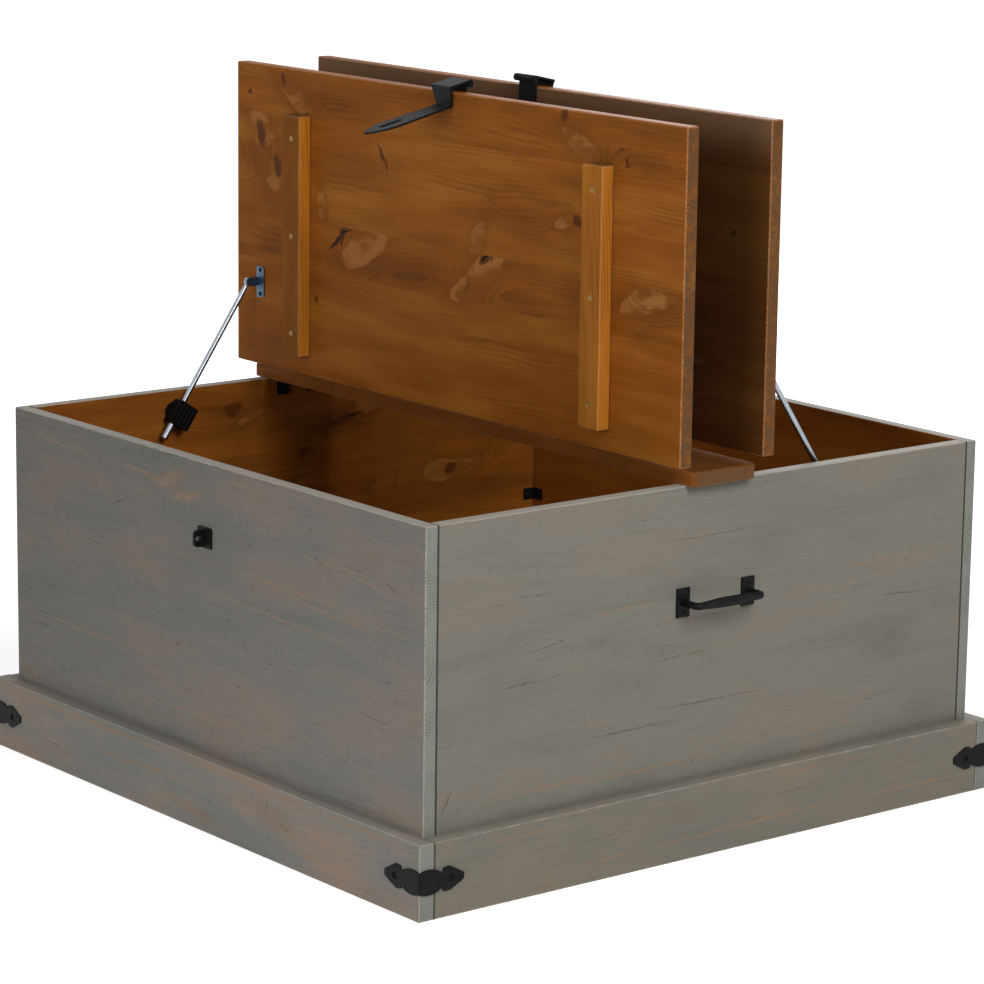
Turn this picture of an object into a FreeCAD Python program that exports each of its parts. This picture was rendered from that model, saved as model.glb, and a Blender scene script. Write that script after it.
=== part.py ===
import FreeCAD, Part
import math
import os
from FreeCAD import Rotation, Vector

# A square storage trunk with two lids that open up against each other from a fixed centre rail.
# Millimetres. Origin on the floor under the middle of the trunk, X along the front, Y from the
# front to the rear, Z up. The trunk is stored with both lids open. Each half of it is the other
# one turned half round about Z, so most pieces are made once, for the front or the right side.

X = Vector(1, 0, 0)
Y = Vector(0, 1, 0)
Z = Vector(0, 0, 1)
ORIGIN = Vector(0, 0, 0)

# ---- Carcase: four panels, butt-jointed, with the front and rear panels across the full width
BODY_WIDTH = 844.0
BODY_DEPTH = 844.0
BODY_TOP = 438.0
PANEL = 17.0
FOOT_GAP = 4.0           # the panels stop this far above the floor, behind the plinth
ARRIS = 1.0              # taken off the edges of a planed board

FLOOR_TOP = 104.0
FLOOR_BOARD = 14.0
FLOOR_BOARD_COUNT = 7
FLOOR_JOINT = 0.6        # gap between two floor boards, and round the floor
CLEAT = 20.0

# ---- Plinth
PLINTH_HEIGHT = 88.0
PLINTH_BOARD = 21.0
PLINTH_EASE = 3.0        # rounding of the plinth's top outer edge

# ---- Centre rail, across the side panels
RAIL_WIDTH = 97.0
RAIL_THICK = 18.0
RAIL_OVERHANG = 13.5
RAIL_CORNER = 8.0        # rounding of its corners seen from above
RAIL_EASE = 4.0
RAIL_BRACKET_SPACING = 48.0
RAIL_BRACKET_DROP = 23.0
RAIL_BRACKET_REACH = 40.0
BRACKET_WIDTH = 18.0
BRACKET_THICK = 2.0

# ---- Inner corner braces
BRACE_LEG = 19.0
BRACE_WIDTH = 15.0
BRACE_HEIGHT = 230.0     # middle of the brace above the floor

# ---- Lids
LID_THICK = 18.0
LID_END_OVERHANG = 16.0
LID_FRONT_OVERHANG = 17.0
LID_REST_GAP = 0.3       # between a closed lid and the rim
LID_ARRIS = 1.5
EDGE_GAP = 2.0           # between the rail and a closed lid, filled by the hinge leaves
LID_OPEN_ANGLE = 90.0
BATTEN_WIDTH = 36.0
BATTEN_THICK = 17.5
BATTEN_FROM_END = 143.0  # middle of a batten from the end of the lid
BATTEN_FROM_HINGE = 26.0
BATTEN_FROM_FREE = 56.0
BATTEN_SCREW_INSET = 29.0

# ---- Butt hinges, two to a lid, let into the edges of the rail and the lid
HINGE_FROM_END = 148.0   # middle of a hinge from the end of the lid
HINGE_LENGTH = 52.0
HINGE_LEAF = 1.6
HINGE_DROP = 20.0        # from the pin's axis to the leaf's lower edge
HINGE_BARREL = 4.5       # radius
HINGE_PIN = 2.2          # radius
HINGE_LEAF_GAP = 0.3     # between the two closed leaves
HINGE_KNUCKLES = 3
BARREL_CLEARANCE = 0.8   # between a barrel and the lid's top face

RUN = 0.05               # radial clearance of a pin in its bore
KNUCKLE_GAP = 0.25       # between knuckles, along the pin and around them

# ---- Hasps, one to a lid
HASP_LEAF_WIDTH = 32.0
HASP_LEAF_LENGTH = 46.0  # on the lid's top face
HASP_LEAF = 2.0
HASP_PIN_OUT = 10.0      # the pin's axis beyond the lid's free edge
HASP_PIN = 2.0           # radius
HASP_BARREL = 4.6        # radius
HASP_PIN_HEAD = 1.5      # length that stands out at each end
HASP_ARM_WIDTH = 37.0
HASP_STEEL = 2.5
HASP_DROP = 31.0         # from the pin's axis to the underside of the step
HASP_MIDDLE_KNUCKLE = 16.0
HASP_ROOT_WIDTH = 28.0
HASP_STRAP_WIDTH = 34.0
HASP_STRAP_LENGTH = 121.0
HASP_SHOULDER = 76.0     # from the strap's root to its widest place
HASP_SLOT_FROM_ROOT = 81.0   # to the middle of the slot
HASP_SLOT_LENGTH = 34.0
HASP_SLOT_WIDTH = 8.0
HASP_DROOP = 12.5        # degrees it hangs in towards an open lid, from its fastened line
HASP_BEND = 2.0          # inner radius of its bends

# ---- Staples on the front and rear panels
STAPLE_WIDTH = 28.0
STAPLE_HEIGHT = 25.0
STAPLE_PLATE = 2.0
STAPLE_REACH = 15.0
STAPLE_LOOP_HEIGHT = 20.0
STAPLE_LOOP_THICK = 4.0
STAPLE_EYE = 3.4         # radius
STAPLE_RIM = 2.0         # iron left beyond the eye
STAPLE_CLEARANCE = 3.0   # between the staple's plate and the fastened strap

# ---- Pull handles on the side panels
HANDLE_HEIGHT = 302.0    # above the floor
HANDLE_SPACING = 100.0   # between the middles of its two plates
HANDLE_PLATE_WIDTH = 19.5
HANDLE_PLATE_HEIGHT = 34.0
HANDLE_PLATE = 3.5
HANDLE_REACH = 27.0      # from the panel to the middle of the grip
HANDLE_END = 4.3         # radius of the bar at its ends
HANDLE_MIDDLE = 6.0      # radius of the bar at its middle
HANDLE_SWELL = 26.0      # length of its thickest part
HANDLE_BEND = 5.5

# ---- Corner irons round the plinth's corners
IRON_THICK = 2.0
IRON_HEIGHT = 44.5       # middle of the iron above the floor
IRON_CORNER = 12.5       # half heights of the outline, and how far along each lies
IRON_LOBE = 14.4
IRON_NECK = 8.8
IRON_SPEAR = 14.3
IRON_TIP = 3.7
IRON_LOBE_AT = 14.2
IRON_NECK_AT = 31.5
IRON_SPEAR_AT = 41.0
IRON_LENGTH = 61.0
IRON_RIDGE = 1.2         # the spearhead's bevelled facets fall by this much

# ---- Lid stays: a rod on each lid that runs through a friction clamp on the side panel
STAY_PIVOT_ALONG = 108.0   # from the lid's hinge edge
STAY_PIVOT_BELOW = 13.0    # below the lid's underside
STAY_ROD_FROM_PANEL = 10.0
STAY_ROD = 3.5             # radius
STAY_ROD_SPARE = 1.2       # between the clamp and the ferrule when the lid is open
STAY_FERRULE = 5.0         # radius
STAY_FERRULE_LENGTH = 20.0
STAY_EYE = 5.5             # radius
STAY_EYE_THICK = 4.0
STAY_RIVET = 2.2           # radius
STAY_TAB = 2.0
STAY_TAB_GAP = 0.5         # between the rod's eye and the bracket's tab
STAY_PLATE_WIDTH = 16.0
STAY_PLATE_LENGTH = 40.0
STAY_PLATE = 1.6
CLAMP_FROM_FRONT = 226.0   # the clamp's pivot from the body's front face
CLAMP_BELOW_RIM = 28.0
CLAMP_LENGTH = 32.0
CLAMP_ABOVE_ROD = 9.0
CLAMP_BELOW_ROD = 21.0
CLAMP_FRONT_WALL = 5.0     # over the rod
CLAMP_RIBS = 5
CLAMP_GROOVE = 1.6
CLAMP_PIVOT = 13.0         # radius of its plate on the panel
CLAMP_PIVOT_THICK = 2.5
CLAMP_CLEARANCE = 0.3      # between the clamp and that plate

# ---- Countersunk screws that hold the battens
SCREW_HEAD = 4.2           # radius
SCREW_HEAD_DEPTH = 2.6
SCREW_SHANK = 2.0          # radius
SCREW_LENGTH = 30.0

# ---- Places worked out from the sizes above
HALF_WIDTH = BODY_WIDTH / 2
HALF_DEPTH = BODY_DEPTH / 2
INNER_X = HALF_WIDTH - PANEL
INNER_Y = HALF_DEPTH - PANEL
RAIL_HALF = RAIL_WIDTH / 2
RAIL_TOP = BODY_TOP + RAIL_THICK
LID_UNDER = BODY_TOP + LID_REST_GAP
LID_TOP = LID_UNDER + LID_THICK
LID_HINGE_EDGE = -(RAIL_HALF + EDGE_GAP)
LID_FREE_EDGE = -(HALF_DEPTH + LID_FRONT_OVERHANG)
LID_HALF_LENGTH = HALF_WIDTH + LID_END_OVERHANG
PIN_Y = -(RAIL_HALF + EDGE_GAP / 2)
PIN_Z = max(LID_TOP, RAIL_TOP) + HINGE_BARREL + BARREL_CLEARANCE
LEAF_INNER = HINGE_LEAF_GAP / 2
MORTISE = LEAF_INNER + HINGE_LEAF - EDGE_GAP / 2
HASP_PIN_Y = LID_FREE_EDGE - HASP_PIN_OUT
HASP_PIN_Z = LID_TOP + HASP_BARREL
STRAP_INNER = -(HALF_DEPTH + STAPLE_PLATE + STAPLE_CLEARANCE)
STAPLE_Z = HASP_PIN_Z - HASP_DROP - HASP_SLOT_FROM_ROOT
ROD_X = -(INNER_X - STAY_ROD_FROM_PANEL)
STAY_PIVOT_Y = LID_HINGE_EDGE - STAY_PIVOT_ALONG
STAY_PIVOT_Z = LID_UNDER - STAY_PIVOT_BELOW
CLAMP_Y = -(HALF_DEPTH - CLAMP_FROM_FRONT)
CLAMP_Z = BODY_TOP - CLAMP_BELOW_RIM


def box(x0, x1, y0, y1, z0, z1):
    return Part.makeBox(x1 - x0, y1 - y0, z1 - z0, Vector(x0, y0, z0))


def rod(radius, start, end):
    return Part.makeCylinder(radius, (end - start).Length, start, end - start)


def prism(points, depth):
    """A closed outline, swept by the vector depth."""
    return Part.Face(Part.makePolygon(points + [points[0]])).extrude(depth)


def eased(shape, radius, wanted):
    """Rounds the edges that are wanted."""
    return shape.makeFillet(radius, [edge for edge in shape.Edges if wanted(edge)])


def planed(board, arris):
    """A board with its sharp edges taken off."""
    return board.makeChamfer(arris, board.Edges)


def along(edge, direction):
    if not isinstance(edge.Curve, Part.Line):
        return False
    return abs(abs(edge.Curve.Direction.dot(direction)) - 1) < 1e-6


def joined(pieces):
    shape = pieces[0].fuse(pieces[1:]) if len(pieces) > 1 else pieces[0]
    return shape.removeSplitter()


def half_turned(shape):
    """The same piece on the other half of the trunk."""
    return shape.rotated(ORIGIN, Z, 180)


def opened(shape):
    """A piece of the front lid, drawn closed, turned up into the stored open pose."""
    return shape.rotated(Vector(0, PIN_Y, PIN_Z), X, -LID_OPEN_ANGLE)


def save(name, pieces):
    pieces = pieces if isinstance(pieces, list) else [pieces]
    shape = pieces[0] if len(pieces) == 1 else Part.makeCompound(pieces)
    shape.exportStep("parts/" + name + ".step")


def save_both(first, second, piece_name, pieces):
    """Writes a piece, and its twin on the other half under the other prefix."""
    pieces = pieces if isinstance(pieces, list) else [pieces]
    save(first + "_" + piece_name, pieces)
    save(second + "_" + piece_name, [half_turned(piece) for piece in pieces])


# ---- Carcase

def front_panel():
    return planed(box(-HALF_WIDTH, HALF_WIDTH, -HALF_DEPTH, -INNER_Y, FOOT_GAP, BODY_TOP), ARRIS)


def right_panel():
    return planed(box(INNER_X, HALF_WIDTH, -INNER_Y, INNER_Y, FOOT_GAP, BODY_TOP), ARRIS)


def floor_boards():
    boards = []
    room = 2 * INNER_Y - (FLOOR_BOARD_COUNT + 1) * FLOOR_JOINT
    width = room / FLOOR_BOARD_COUNT
    for number in range(FLOOR_BOARD_COUNT):
        start = -INNER_Y + FLOOR_JOINT + number * (width + FLOOR_JOINT)
        board = box(-INNER_X + FLOOR_JOINT, INNER_X - FLOOR_JOINT, start, start + width,
                    FLOOR_TOP - FLOOR_BOARD, FLOOR_TOP)
        boards.append(planed(board, ARRIS))
    return boards


def floor_cleats():
    top = FLOOR_TOP - FLOOR_BOARD
    front = box(-INNER_X, INNER_X, -INNER_Y, -INNER_Y + CLEAT, top - CLEAT, top)
    right = box(INNER_X - CLEAT, INNER_X, -INNER_Y + CLEAT, INNER_Y - CLEAT, top - CLEAT, top)
    return [front, right, half_turned(front), half_turned(right)]


def top_outer(edge, outward, reach):
    centre = edge.CenterOfMass
    return abs(centre.z - PLINTH_HEIGHT) < 1e-6 and abs(centre.dot(outward) - reach) < 1e-6


def plinth_front():
    outer = HALF_DEPTH + PLINTH_BOARD
    half = HALF_WIDTH + PLINTH_BOARD
    board = box(-half, half, -outer, -HALF_DEPTH, 0, PLINTH_HEIGHT)
    return eased(board, PLINTH_EASE, lambda edge: top_outer(edge, Y * -1, outer))


def plinth_right():
    outer = HALF_WIDTH + PLINTH_BOARD
    board = box(HALF_WIDTH, outer, -HALF_DEPTH, HALF_DEPTH, 0, PLINTH_HEIGHT)
    return eased(board, PLINTH_EASE, lambda edge: top_outer(edge, X, outer))


# ---- Corner irons

def iron_outline(place):
    """One leaf's outline as edges; place turns (along, up) into a point on the board."""
    def half(sign):
        corner = place(0, sign * IRON_CORNER)
        lobe = place(IRON_LOBE_AT, sign * IRON_LOBE)
        waist = place(IRON_NECK_AT - IRON_TIP, sign * (IRON_NECK + IRON_TIP / 2))
        neck = place(IRON_NECK_AT, sign * IRON_NECK)
        barb = place(IRON_NECK_AT + 1, sign * (IRON_SPEAR - 1))
        spear = place(IRON_SPEAR_AT, sign * IRON_SPEAR)
        tip = place(IRON_LENGTH, sign * IRON_TIP)
        straight = [neck, barb, spear, tip]
        edges = [Part.Arc(corner, lobe, waist).toShape(), Part.makeLine(waist, neck)]
        return edges + [Part.makeLine(a, b) for a, b in zip(straight, straight[1:])]

    ends = [Part.makeLine(place(0, -IRON_CORNER), place(0, IRON_CORNER)),
            Part.makeLine(place(IRON_LENGTH, -IRON_TIP), place(IRON_LENGTH, IRON_TIP))]
    return half(1) + half(-1) + ends


def iron_leaf(corner, run, outward):
    """A leaf on a board's face, from the corner point along run, IRON_THICK proud."""
    def place(distance, height):
        return corner + run * distance + Z * height

    wire = Part.Wire(Part.__sortEdges__(iron_outline(place)))
    leaf = Part.Face(wire).extrude(outward * IRON_THICK)
    crest = place(IRON_NECK_AT, 0) + outward * IRON_THICK
    for side in (1, -1):
        fall = [crest + Z * (side * IRON_NECK),
                crest + Z * (side * IRON_SPEAR * 1.2),
                crest + Z * (side * IRON_SPEAR * 1.2) - outward * IRON_RIDGE]
        wedge = prism(fall, run * (IRON_LENGTH - IRON_NECK_AT + 1))
        leaf = leaf.cut(wedge)
    return leaf


def corner_iron():
    """The front right corner's iron: two leaves bent round the plinth's corner."""
    side = HALF_WIDTH + PLINTH_BOARD
    front = HALF_DEPTH + PLINTH_BOARD
    corner = Vector(side, -front, IRON_HEIGHT)
    bend = box(side, side + IRON_THICK, -front - IRON_THICK, -front,
               IRON_HEIGHT - IRON_CORNER, IRON_HEIGHT + IRON_CORNER)
    bend = eased(bend, IRON_THICK * 0.8, lambda edge: along(edge, Z)
                 and edge.CenterOfMass.x > side + IRON_THICK / 2
                 and edge.CenterOfMass.y < -front - IRON_THICK / 2)
    return joined([iron_leaf(corner, X * -1, Y * -1), iron_leaf(corner, Y, X), bend])


# ---- Angle brackets inside

def angle(corner, leg_a, leg_b, reach_a, reach_b, width_way, width):
    """Two legs from a corner along leg_a and leg_b, width wide about the corner."""
    start = corner - width_way * (width / 2)
    points = [start, start + leg_a * reach_a, start + leg_a * reach_a + leg_b * BRACKET_THICK,
              start + leg_a * BRACKET_THICK + leg_b * BRACKET_THICK,
              start + leg_a * BRACKET_THICK + leg_b * reach_b, start + leg_b * reach_b]
    return prism(points, width_way * width)


def right_brackets():
    """Under the rail's right end, down the right panel's inner face."""
    half = RAIL_BRACKET_SPACING / 2
    return [angle(Vector(INNER_X, side * half, BODY_TOP), X * -1, Z * -1,
                  RAIL_BRACKET_REACH, RAIL_BRACKET_DROP, Y, BRACKET_WIDTH) for side in (-1, 1)]


def corner_braces():
    """The two braces at the front inner corners."""
    right = angle(Vector(INNER_X, -INNER_Y, BRACE_HEIGHT), X * -1, Y, BRACE_LEG, BRACE_LEG,
                  Z, BRACE_WIDTH)
    return [right, right.mirror(ORIGIN, X)]


# ---- Centre rail

def centre_rail():
    half = HALF_WIDTH + RAIL_OVERHANG
    rail = box(-half, half, -RAIL_HALF, RAIL_HALF, BODY_TOP, RAIL_TOP)
    rail = eased(rail, RAIL_CORNER, lambda edge: along(edge, Z))
    rail = eased(rail, RAIL_EASE, lambda edge: abs(edge.BoundBox.ZMin - RAIL_TOP) < 1e-6)
    rail = rail.makeChamfer(ARRIS, [edge for edge in rail.Edges
                                    if abs(edge.BoundBox.ZMax - BODY_TOP) < 1e-6])
    mortises = []
    for x in hinge_places():
        mortise = box(x - HINGE_LENGTH / 2, x + HINGE_LENGTH / 2, -RAIL_HALF - EDGE_GAP,
                      -RAIL_HALF + MORTISE, PIN_Z - HINGE_DROP, PIN_Z)
        mortises += [mortise, half_turned(mortise)]
    return rail.cut(mortises)


# ---- Butt hinges

def hinge_places():
    x = LID_HALF_LENGTH - HINGE_FROM_END
    return [-x, x]


def hinge_leaf(x, side):
    """side 1 is the rail's leaf with the outer knuckles, side -1 the lid's."""
    centre = Vector(x, PIN_Y, PIN_Z)
    half = HINGE_LENGTH / 2
    near, far = sorted([side * LEAF_INNER, side * (LEAF_INNER + HINGE_LEAF)])
    leaf = box(x - half, x + half, PIN_Y + near, PIN_Y + far, PIN_Z - HINGE_DROP, PIN_Z)
    pitch = HINGE_LENGTH / HINGE_KNUCKLES
    own, other = [], []
    for number in range(HINGE_KNUCKLES):
        start = centre + X * (number * pitch - half)
        end = start + X * pitch
        if (number % 2 == 0) == (side == 1):
            own.append(rod(HINGE_BARREL, start, end))
        else:
            gap = X * KNUCKLE_GAP
            other.append(rod(HINGE_BARREL + KNUCKLE_GAP, start - gap, end + gap))
    leaf = joined([leaf] + own).cut(other)
    return leaf.cut(rod(HINGE_PIN + RUN, centre - X * HINGE_LENGTH, centre + X * HINGE_LENGTH))


def hinge_pin(x):
    half = X * (HINGE_LENGTH / 2)
    centre = Vector(x, PIN_Y, PIN_Z)
    return rod(HINGE_PIN, centre - half, centre + half)


# ---- Lid, drawn closed over the front half

def lid_board():
    board = box(-LID_HALF_LENGTH, LID_HALF_LENGTH, LID_FREE_EDGE, LID_HINGE_EDGE,
                LID_UNDER, LID_TOP)
    board = planed(board, LID_ARRIS)
    holes = [screw_hole(seat) for seat in batten_seats(-1) + batten_seats(1)]
    for x in hinge_places():
        holes.append(box(x - HINGE_LENGTH / 2, x + HINGE_LENGTH / 2, LID_HINGE_EDGE - MORTISE,
                         LID_HINGE_EDGE + EDGE_GAP, PIN_Z - HINGE_DROP, PIN_Z))
    return board.cut(holes)


def batten(side):
    x = side * (LID_HALF_LENGTH - BATTEN_FROM_END)
    strip = box(x - BATTEN_WIDTH / 2, x + BATTEN_WIDTH / 2, LID_FREE_EDGE + BATTEN_FROM_FREE,
                LID_HINGE_EDGE - BATTEN_FROM_HINGE, LID_UNDER - BATTEN_THICK, LID_UNDER)
    strip = planed(strip, ARRIS)
    return strip.cut([screw_hole(seat) for seat in batten_seats(side)])


def batten_seats(side):
    """Where the middles of a batten's screw heads lie, on the batten's face."""
    x = side * (LID_HALF_LENGTH - BATTEN_FROM_END)
    near = LID_HINGE_EDGE - BATTEN_FROM_HINGE - BATTEN_SCREW_INSET
    far = LID_FREE_EDGE + BATTEN_FROM_FREE + BATTEN_SCREW_INSET
    return [Vector(x, y, LID_UNDER - BATTEN_THICK) for y in (near, (near + far) / 2, far)]


def countersunk(seat, clearance):
    head = Part.makeCone(SCREW_HEAD + clearance, SCREW_SHANK + clearance, SCREW_HEAD_DEPTH,
                         seat, Z)
    return joined([head, rod(SCREW_SHANK + clearance, seat, seat + Z * (SCREW_LENGTH + clearance))])


def screw_hole(seat):
    return countersunk(seat, RUN)


# ---- Hasp, drawn fastened over a closed lid

def hasp_knuckles(outer, grow):
    """The barrel's outer pair of knuckles, or its middle one, larger by grow."""
    half = HASP_MIDDLE_KNUCKLE / 2
    centre = Vector(0, HASP_PIN_Y, HASP_PIN_Z)
    if not outer:
        reach = X * (half + grow)
        return [rod(HASP_BARREL + grow, centre - reach, centre + reach)]
    start = X * (half + KNUCKLE_GAP - grow)
    end = X * (HASP_ARM_WIDTH / 2 + grow)
    return [rod(HASP_BARREL + grow, centre + start * side, centre + end * side)
            for side in (-1, 1)]


def hasp_bore():
    reach = X * HASP_ARM_WIDTH
    centre = Vector(0, HASP_PIN_Y, HASP_PIN_Z)
    return rod(HASP_PIN + RUN, centre - reach, centre + reach)


def hasp_leaf():
    half = HASP_LEAF_WIDTH / 2
    plate = box(-half, half, HASP_PIN_Y, LID_FREE_EDGE + HASP_LEAF_LENGTH,
                LID_TOP, LID_TOP + HASP_LEAF)
    plate = eased(plate, half / 3, lambda edge: along(edge, Z)
                  and edge.CenterOfMass.y > LID_FREE_EDGE)
    leaf = joined([plate] + hasp_knuckles(False, 0))
    return leaf.cut(hasp_knuckles(True, KNUCKLE_GAP) + [hasp_bore()])


def hasp_pin():
    reach = X * (HASP_ARM_WIDTH / 2 + HASP_PIN_HEAD)
    centre = Vector(0, HASP_PIN_Y, HASP_PIN_Z)
    pin = rod(HASP_PIN, centre - reach, centre + reach)
    heads = [rod(HASP_PIN + 1, centre + reach * side,
                 centre + reach * side - X * (side * (HASP_PIN_HEAD - KNUCKLE_GAP)))
             for side in (-1, 1)]
    return joined([pin] + heads)


def hasp_strap():
    """Barrel, drop over the lid's edge, step back towards the panel, and the slotted strap."""
    half = HASP_ARM_WIDTH / 2
    root = HASP_ROOT_WIDTH / 2
    outer = HASP_PIN_Y - HASP_BARREL
    step_under = HASP_PIN_Z - HASP_DROP
    strap_outer = STRAP_INNER - HASP_STEEL
    drop = box(-half, half, outer, outer + HASP_STEEL, step_under, HASP_PIN_Z)
    step = prism([Vector(-half, outer, step_under), Vector(half, outer, step_under),
                  Vector(root, STRAP_INNER, step_under), Vector(-root, STRAP_INNER, step_under)],
                 Z * HASP_STEEL)
    strap = hasp_strap_face(step_under, strap_outer).extrude(Y * HASP_STEEL)
    bends = hasp_gusset(outer + HASP_STEEL, step_under + HASP_STEEL, 1, 1, half * 0.95)
    tuck = hasp_gusset(strap_outer, step_under, -1, -1, root)
    arm = joined([drop, step, strap, bends, tuck] + hasp_knuckles(True, 0))
    return arm.cut(hasp_knuckles(False, KNUCKLE_GAP) + [hasp_bore()])


def hasp_gusset(y, z, y_way, z_way, half):
    """The inner radius of a bend, along X."""
    corner = Vector(-half, y, z)
    a = corner + Y * (y_way * HASP_BEND)
    b = corner + Z * (z_way * HASP_BEND)
    middle = corner + (Y * y_way + Z * z_way) * (HASP_BEND * (1 - math.sqrt(0.5)))
    edges = [Part.makeLine(corner, a), Part.Arc(a, middle, b).toShape(), Part.makeLine(b, corner)]
    return Part.Face(Part.Wire(edges)).extrude(X * (2 * half))


def hasp_strap_face(top, y):
    """Spear-shaped strap with a slot, in the plane at y, hanging from top."""
    def at(across, down):
        return Vector(across, y, top + HASP_STEEL - down)

    root = HASP_ROOT_WIDTH / 2
    wide = HASP_STRAP_WIDTH / 2
    shoulder = HASP_STEEL + HASP_SHOULDER
    length = HASP_STEEL + HASP_STRAP_LENGTH
    taper = shoulder + (length - shoulder) * 0.55
    edges = [Part.makeLine(at(-root, 0), at(root, 0)),
             Part.makeLine(at(root, 0), at(wide, shoulder)),
             Part.Arc(at(wide, shoulder), at(wide * 0.78, taper), at(0, length)).toShape(),
             Part.Arc(at(0, length), at(-wide * 0.78, taper), at(-wide, shoulder)).toShape(),
             Part.makeLine(at(-wide, shoulder), at(-root, 0))]
    slot_half = HASP_SLOT_WIDTH / 2
    top_end = HASP_STEEL + HASP_SLOT_FROM_ROOT - HASP_SLOT_LENGTH / 2
    low_end = top_end + HASP_SLOT_LENGTH
    slot = [Part.makeLine(at(slot_half, top_end + slot_half), at(slot_half, low_end - slot_half)),
            Part.Arc(at(slot_half, low_end - slot_half), at(0, low_end),
                     at(-slot_half, low_end - slot_half)).toShape(),
            Part.makeLine(at(-slot_half, low_end - slot_half),
                          at(-slot_half, top_end + slot_half)),
            Part.Arc(at(-slot_half, top_end + slot_half), at(0, top_end),
                     at(slot_half, top_end + slot_half)).toShape()]
    return Part.Face(Part.Wire(edges)).cut(Part.Face(Part.Wire(slot)))


def drooped(shape):
    """The hasp's arm, hung in towards the lid as it lies when the lid is open."""
    return shape.rotated(Vector(0, HASP_PIN_Y, HASP_PIN_Z), X, HASP_DROOP)


# ---- Staple

def staple_plate():
    half_width = STAPLE_WIDTH / 2
    half_height = STAPLE_HEIGHT / 2
    plate = box(-half_width, half_width, -HALF_DEPTH - STAPLE_PLATE, -HALF_DEPTH,
                STAPLE_Z - half_height, STAPLE_Z + half_height)
    return eased(plate, STAPLE_PLATE, lambda edge: along(edge, Y))


def staple_loop():
    """An upright lug with an eye for a padlock, riveted to the plate."""
    half = STAPLE_LOOP_HEIGHT / 2
    root = -HALF_DEPTH - STAPLE_PLATE
    lug = box(-STAPLE_LOOP_THICK / 2, STAPLE_LOOP_THICK / 2, root - STAPLE_REACH, root,
              STAPLE_Z - half, STAPLE_Z + half)
    lug = eased(lug, STAPLE_LOOP_HEIGHT / 4, lambda edge: along(edge, X)
                and edge.CenterOfMass.y < root - STAPLE_REACH / 2)
    middle = Vector(0, root - STAPLE_REACH + STAPLE_RIM + STAPLE_EYE, STAPLE_Z)
    eye = rod(STAPLE_EYE, middle - X * STAPLE_WIDTH, middle + X * STAPLE_WIDTH)
    return lug.cut(eye)


# ---- Pull handle on the right panel

def handle_plates():
    plates = []
    rise = HANDLE_PLATE_HEIGHT / 2
    for side in (-1, 1):
        y = side * HANDLE_SPACING / 2
        plate = box(HALF_WIDTH, HALF_WIDTH + HANDLE_PLATE, y - HANDLE_PLATE_WIDTH / 2,
                    y + HANDLE_PLATE_WIDTH / 2, HANDLE_HEIGHT - rise, HANDLE_HEIGHT + rise)
        front = [edge for edge in plate.Edges if edge.BoundBox.XMin > HALF_WIDTH + ARRIS]
        plates.append(plate.makeChamfer(ARRIS, front))
    return plates


def handle_bar():
    """Two legs, bent over into a grip that thickens towards its middle."""
    root = HALF_WIDTH + HANDLE_PLATE
    grip_x = HALF_WIDTH + HANDLE_REACH
    half = HANDLE_SPACING / 2
    turn = half - HANDLE_BEND
    outline = [(0, -turn), (HANDLE_END, -turn), (HANDLE_MIDDLE, -HANDLE_SWELL / 2),
               (HANDLE_MIDDLE, HANDLE_SWELL / 2), (HANDLE_END, turn), (0, turn)]
    points = [Vector(grip_x + out, y, HANDLE_HEIGHT) for out, y in outline]
    profile = Part.Face(Part.makePolygon(points + [points[0]]))
    swell = profile.revolve(Vector(grip_x, 0, HANDLE_HEIGHT), Y, 360)
    pieces = [swell]
    for side in (-1, 1):
        foot = Vector(root, side * half, HANDLE_HEIGHT)
        elbow_start = Vector(grip_x - HANDLE_BEND, side * half, HANDLE_HEIGHT)
        ring = Part.Wire(Part.makeCircle(HANDLE_END, elbow_start, X))
        centre = Vector(grip_x - HANDLE_BEND, side * turn, HANDLE_HEIGHT)
        elbow = Part.Face(ring).revolve(centre, Z * -side, 90)
        pieces += [rod(HANDLE_END, foot, elbow_start), elbow]
    return joined(pieces)


# ---- Lid stay at the left end of the front lid, drawn on the closed lid or in the open pose

def turned_open(point):
    """Where a point of the closed front lid lies when the lid is open."""
    turn = Rotation(X, -LID_OPEN_ANGLE)
    axis = Vector(0, PIN_Y, PIN_Z)
    return axis + turn.multVec(point - axis)


def stay_pivot():
    return turned_open(Vector(ROD_X, STAY_PIVOT_Y, STAY_PIVOT_Z))


def clamp_pivot():
    return Vector(ROD_X, CLAMP_Y, CLAMP_Z)


def stay_direction():
    """From the clamp up to the rod's pivot on the open lid."""
    return (stay_pivot() - clamp_pivot()).normalize()


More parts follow.
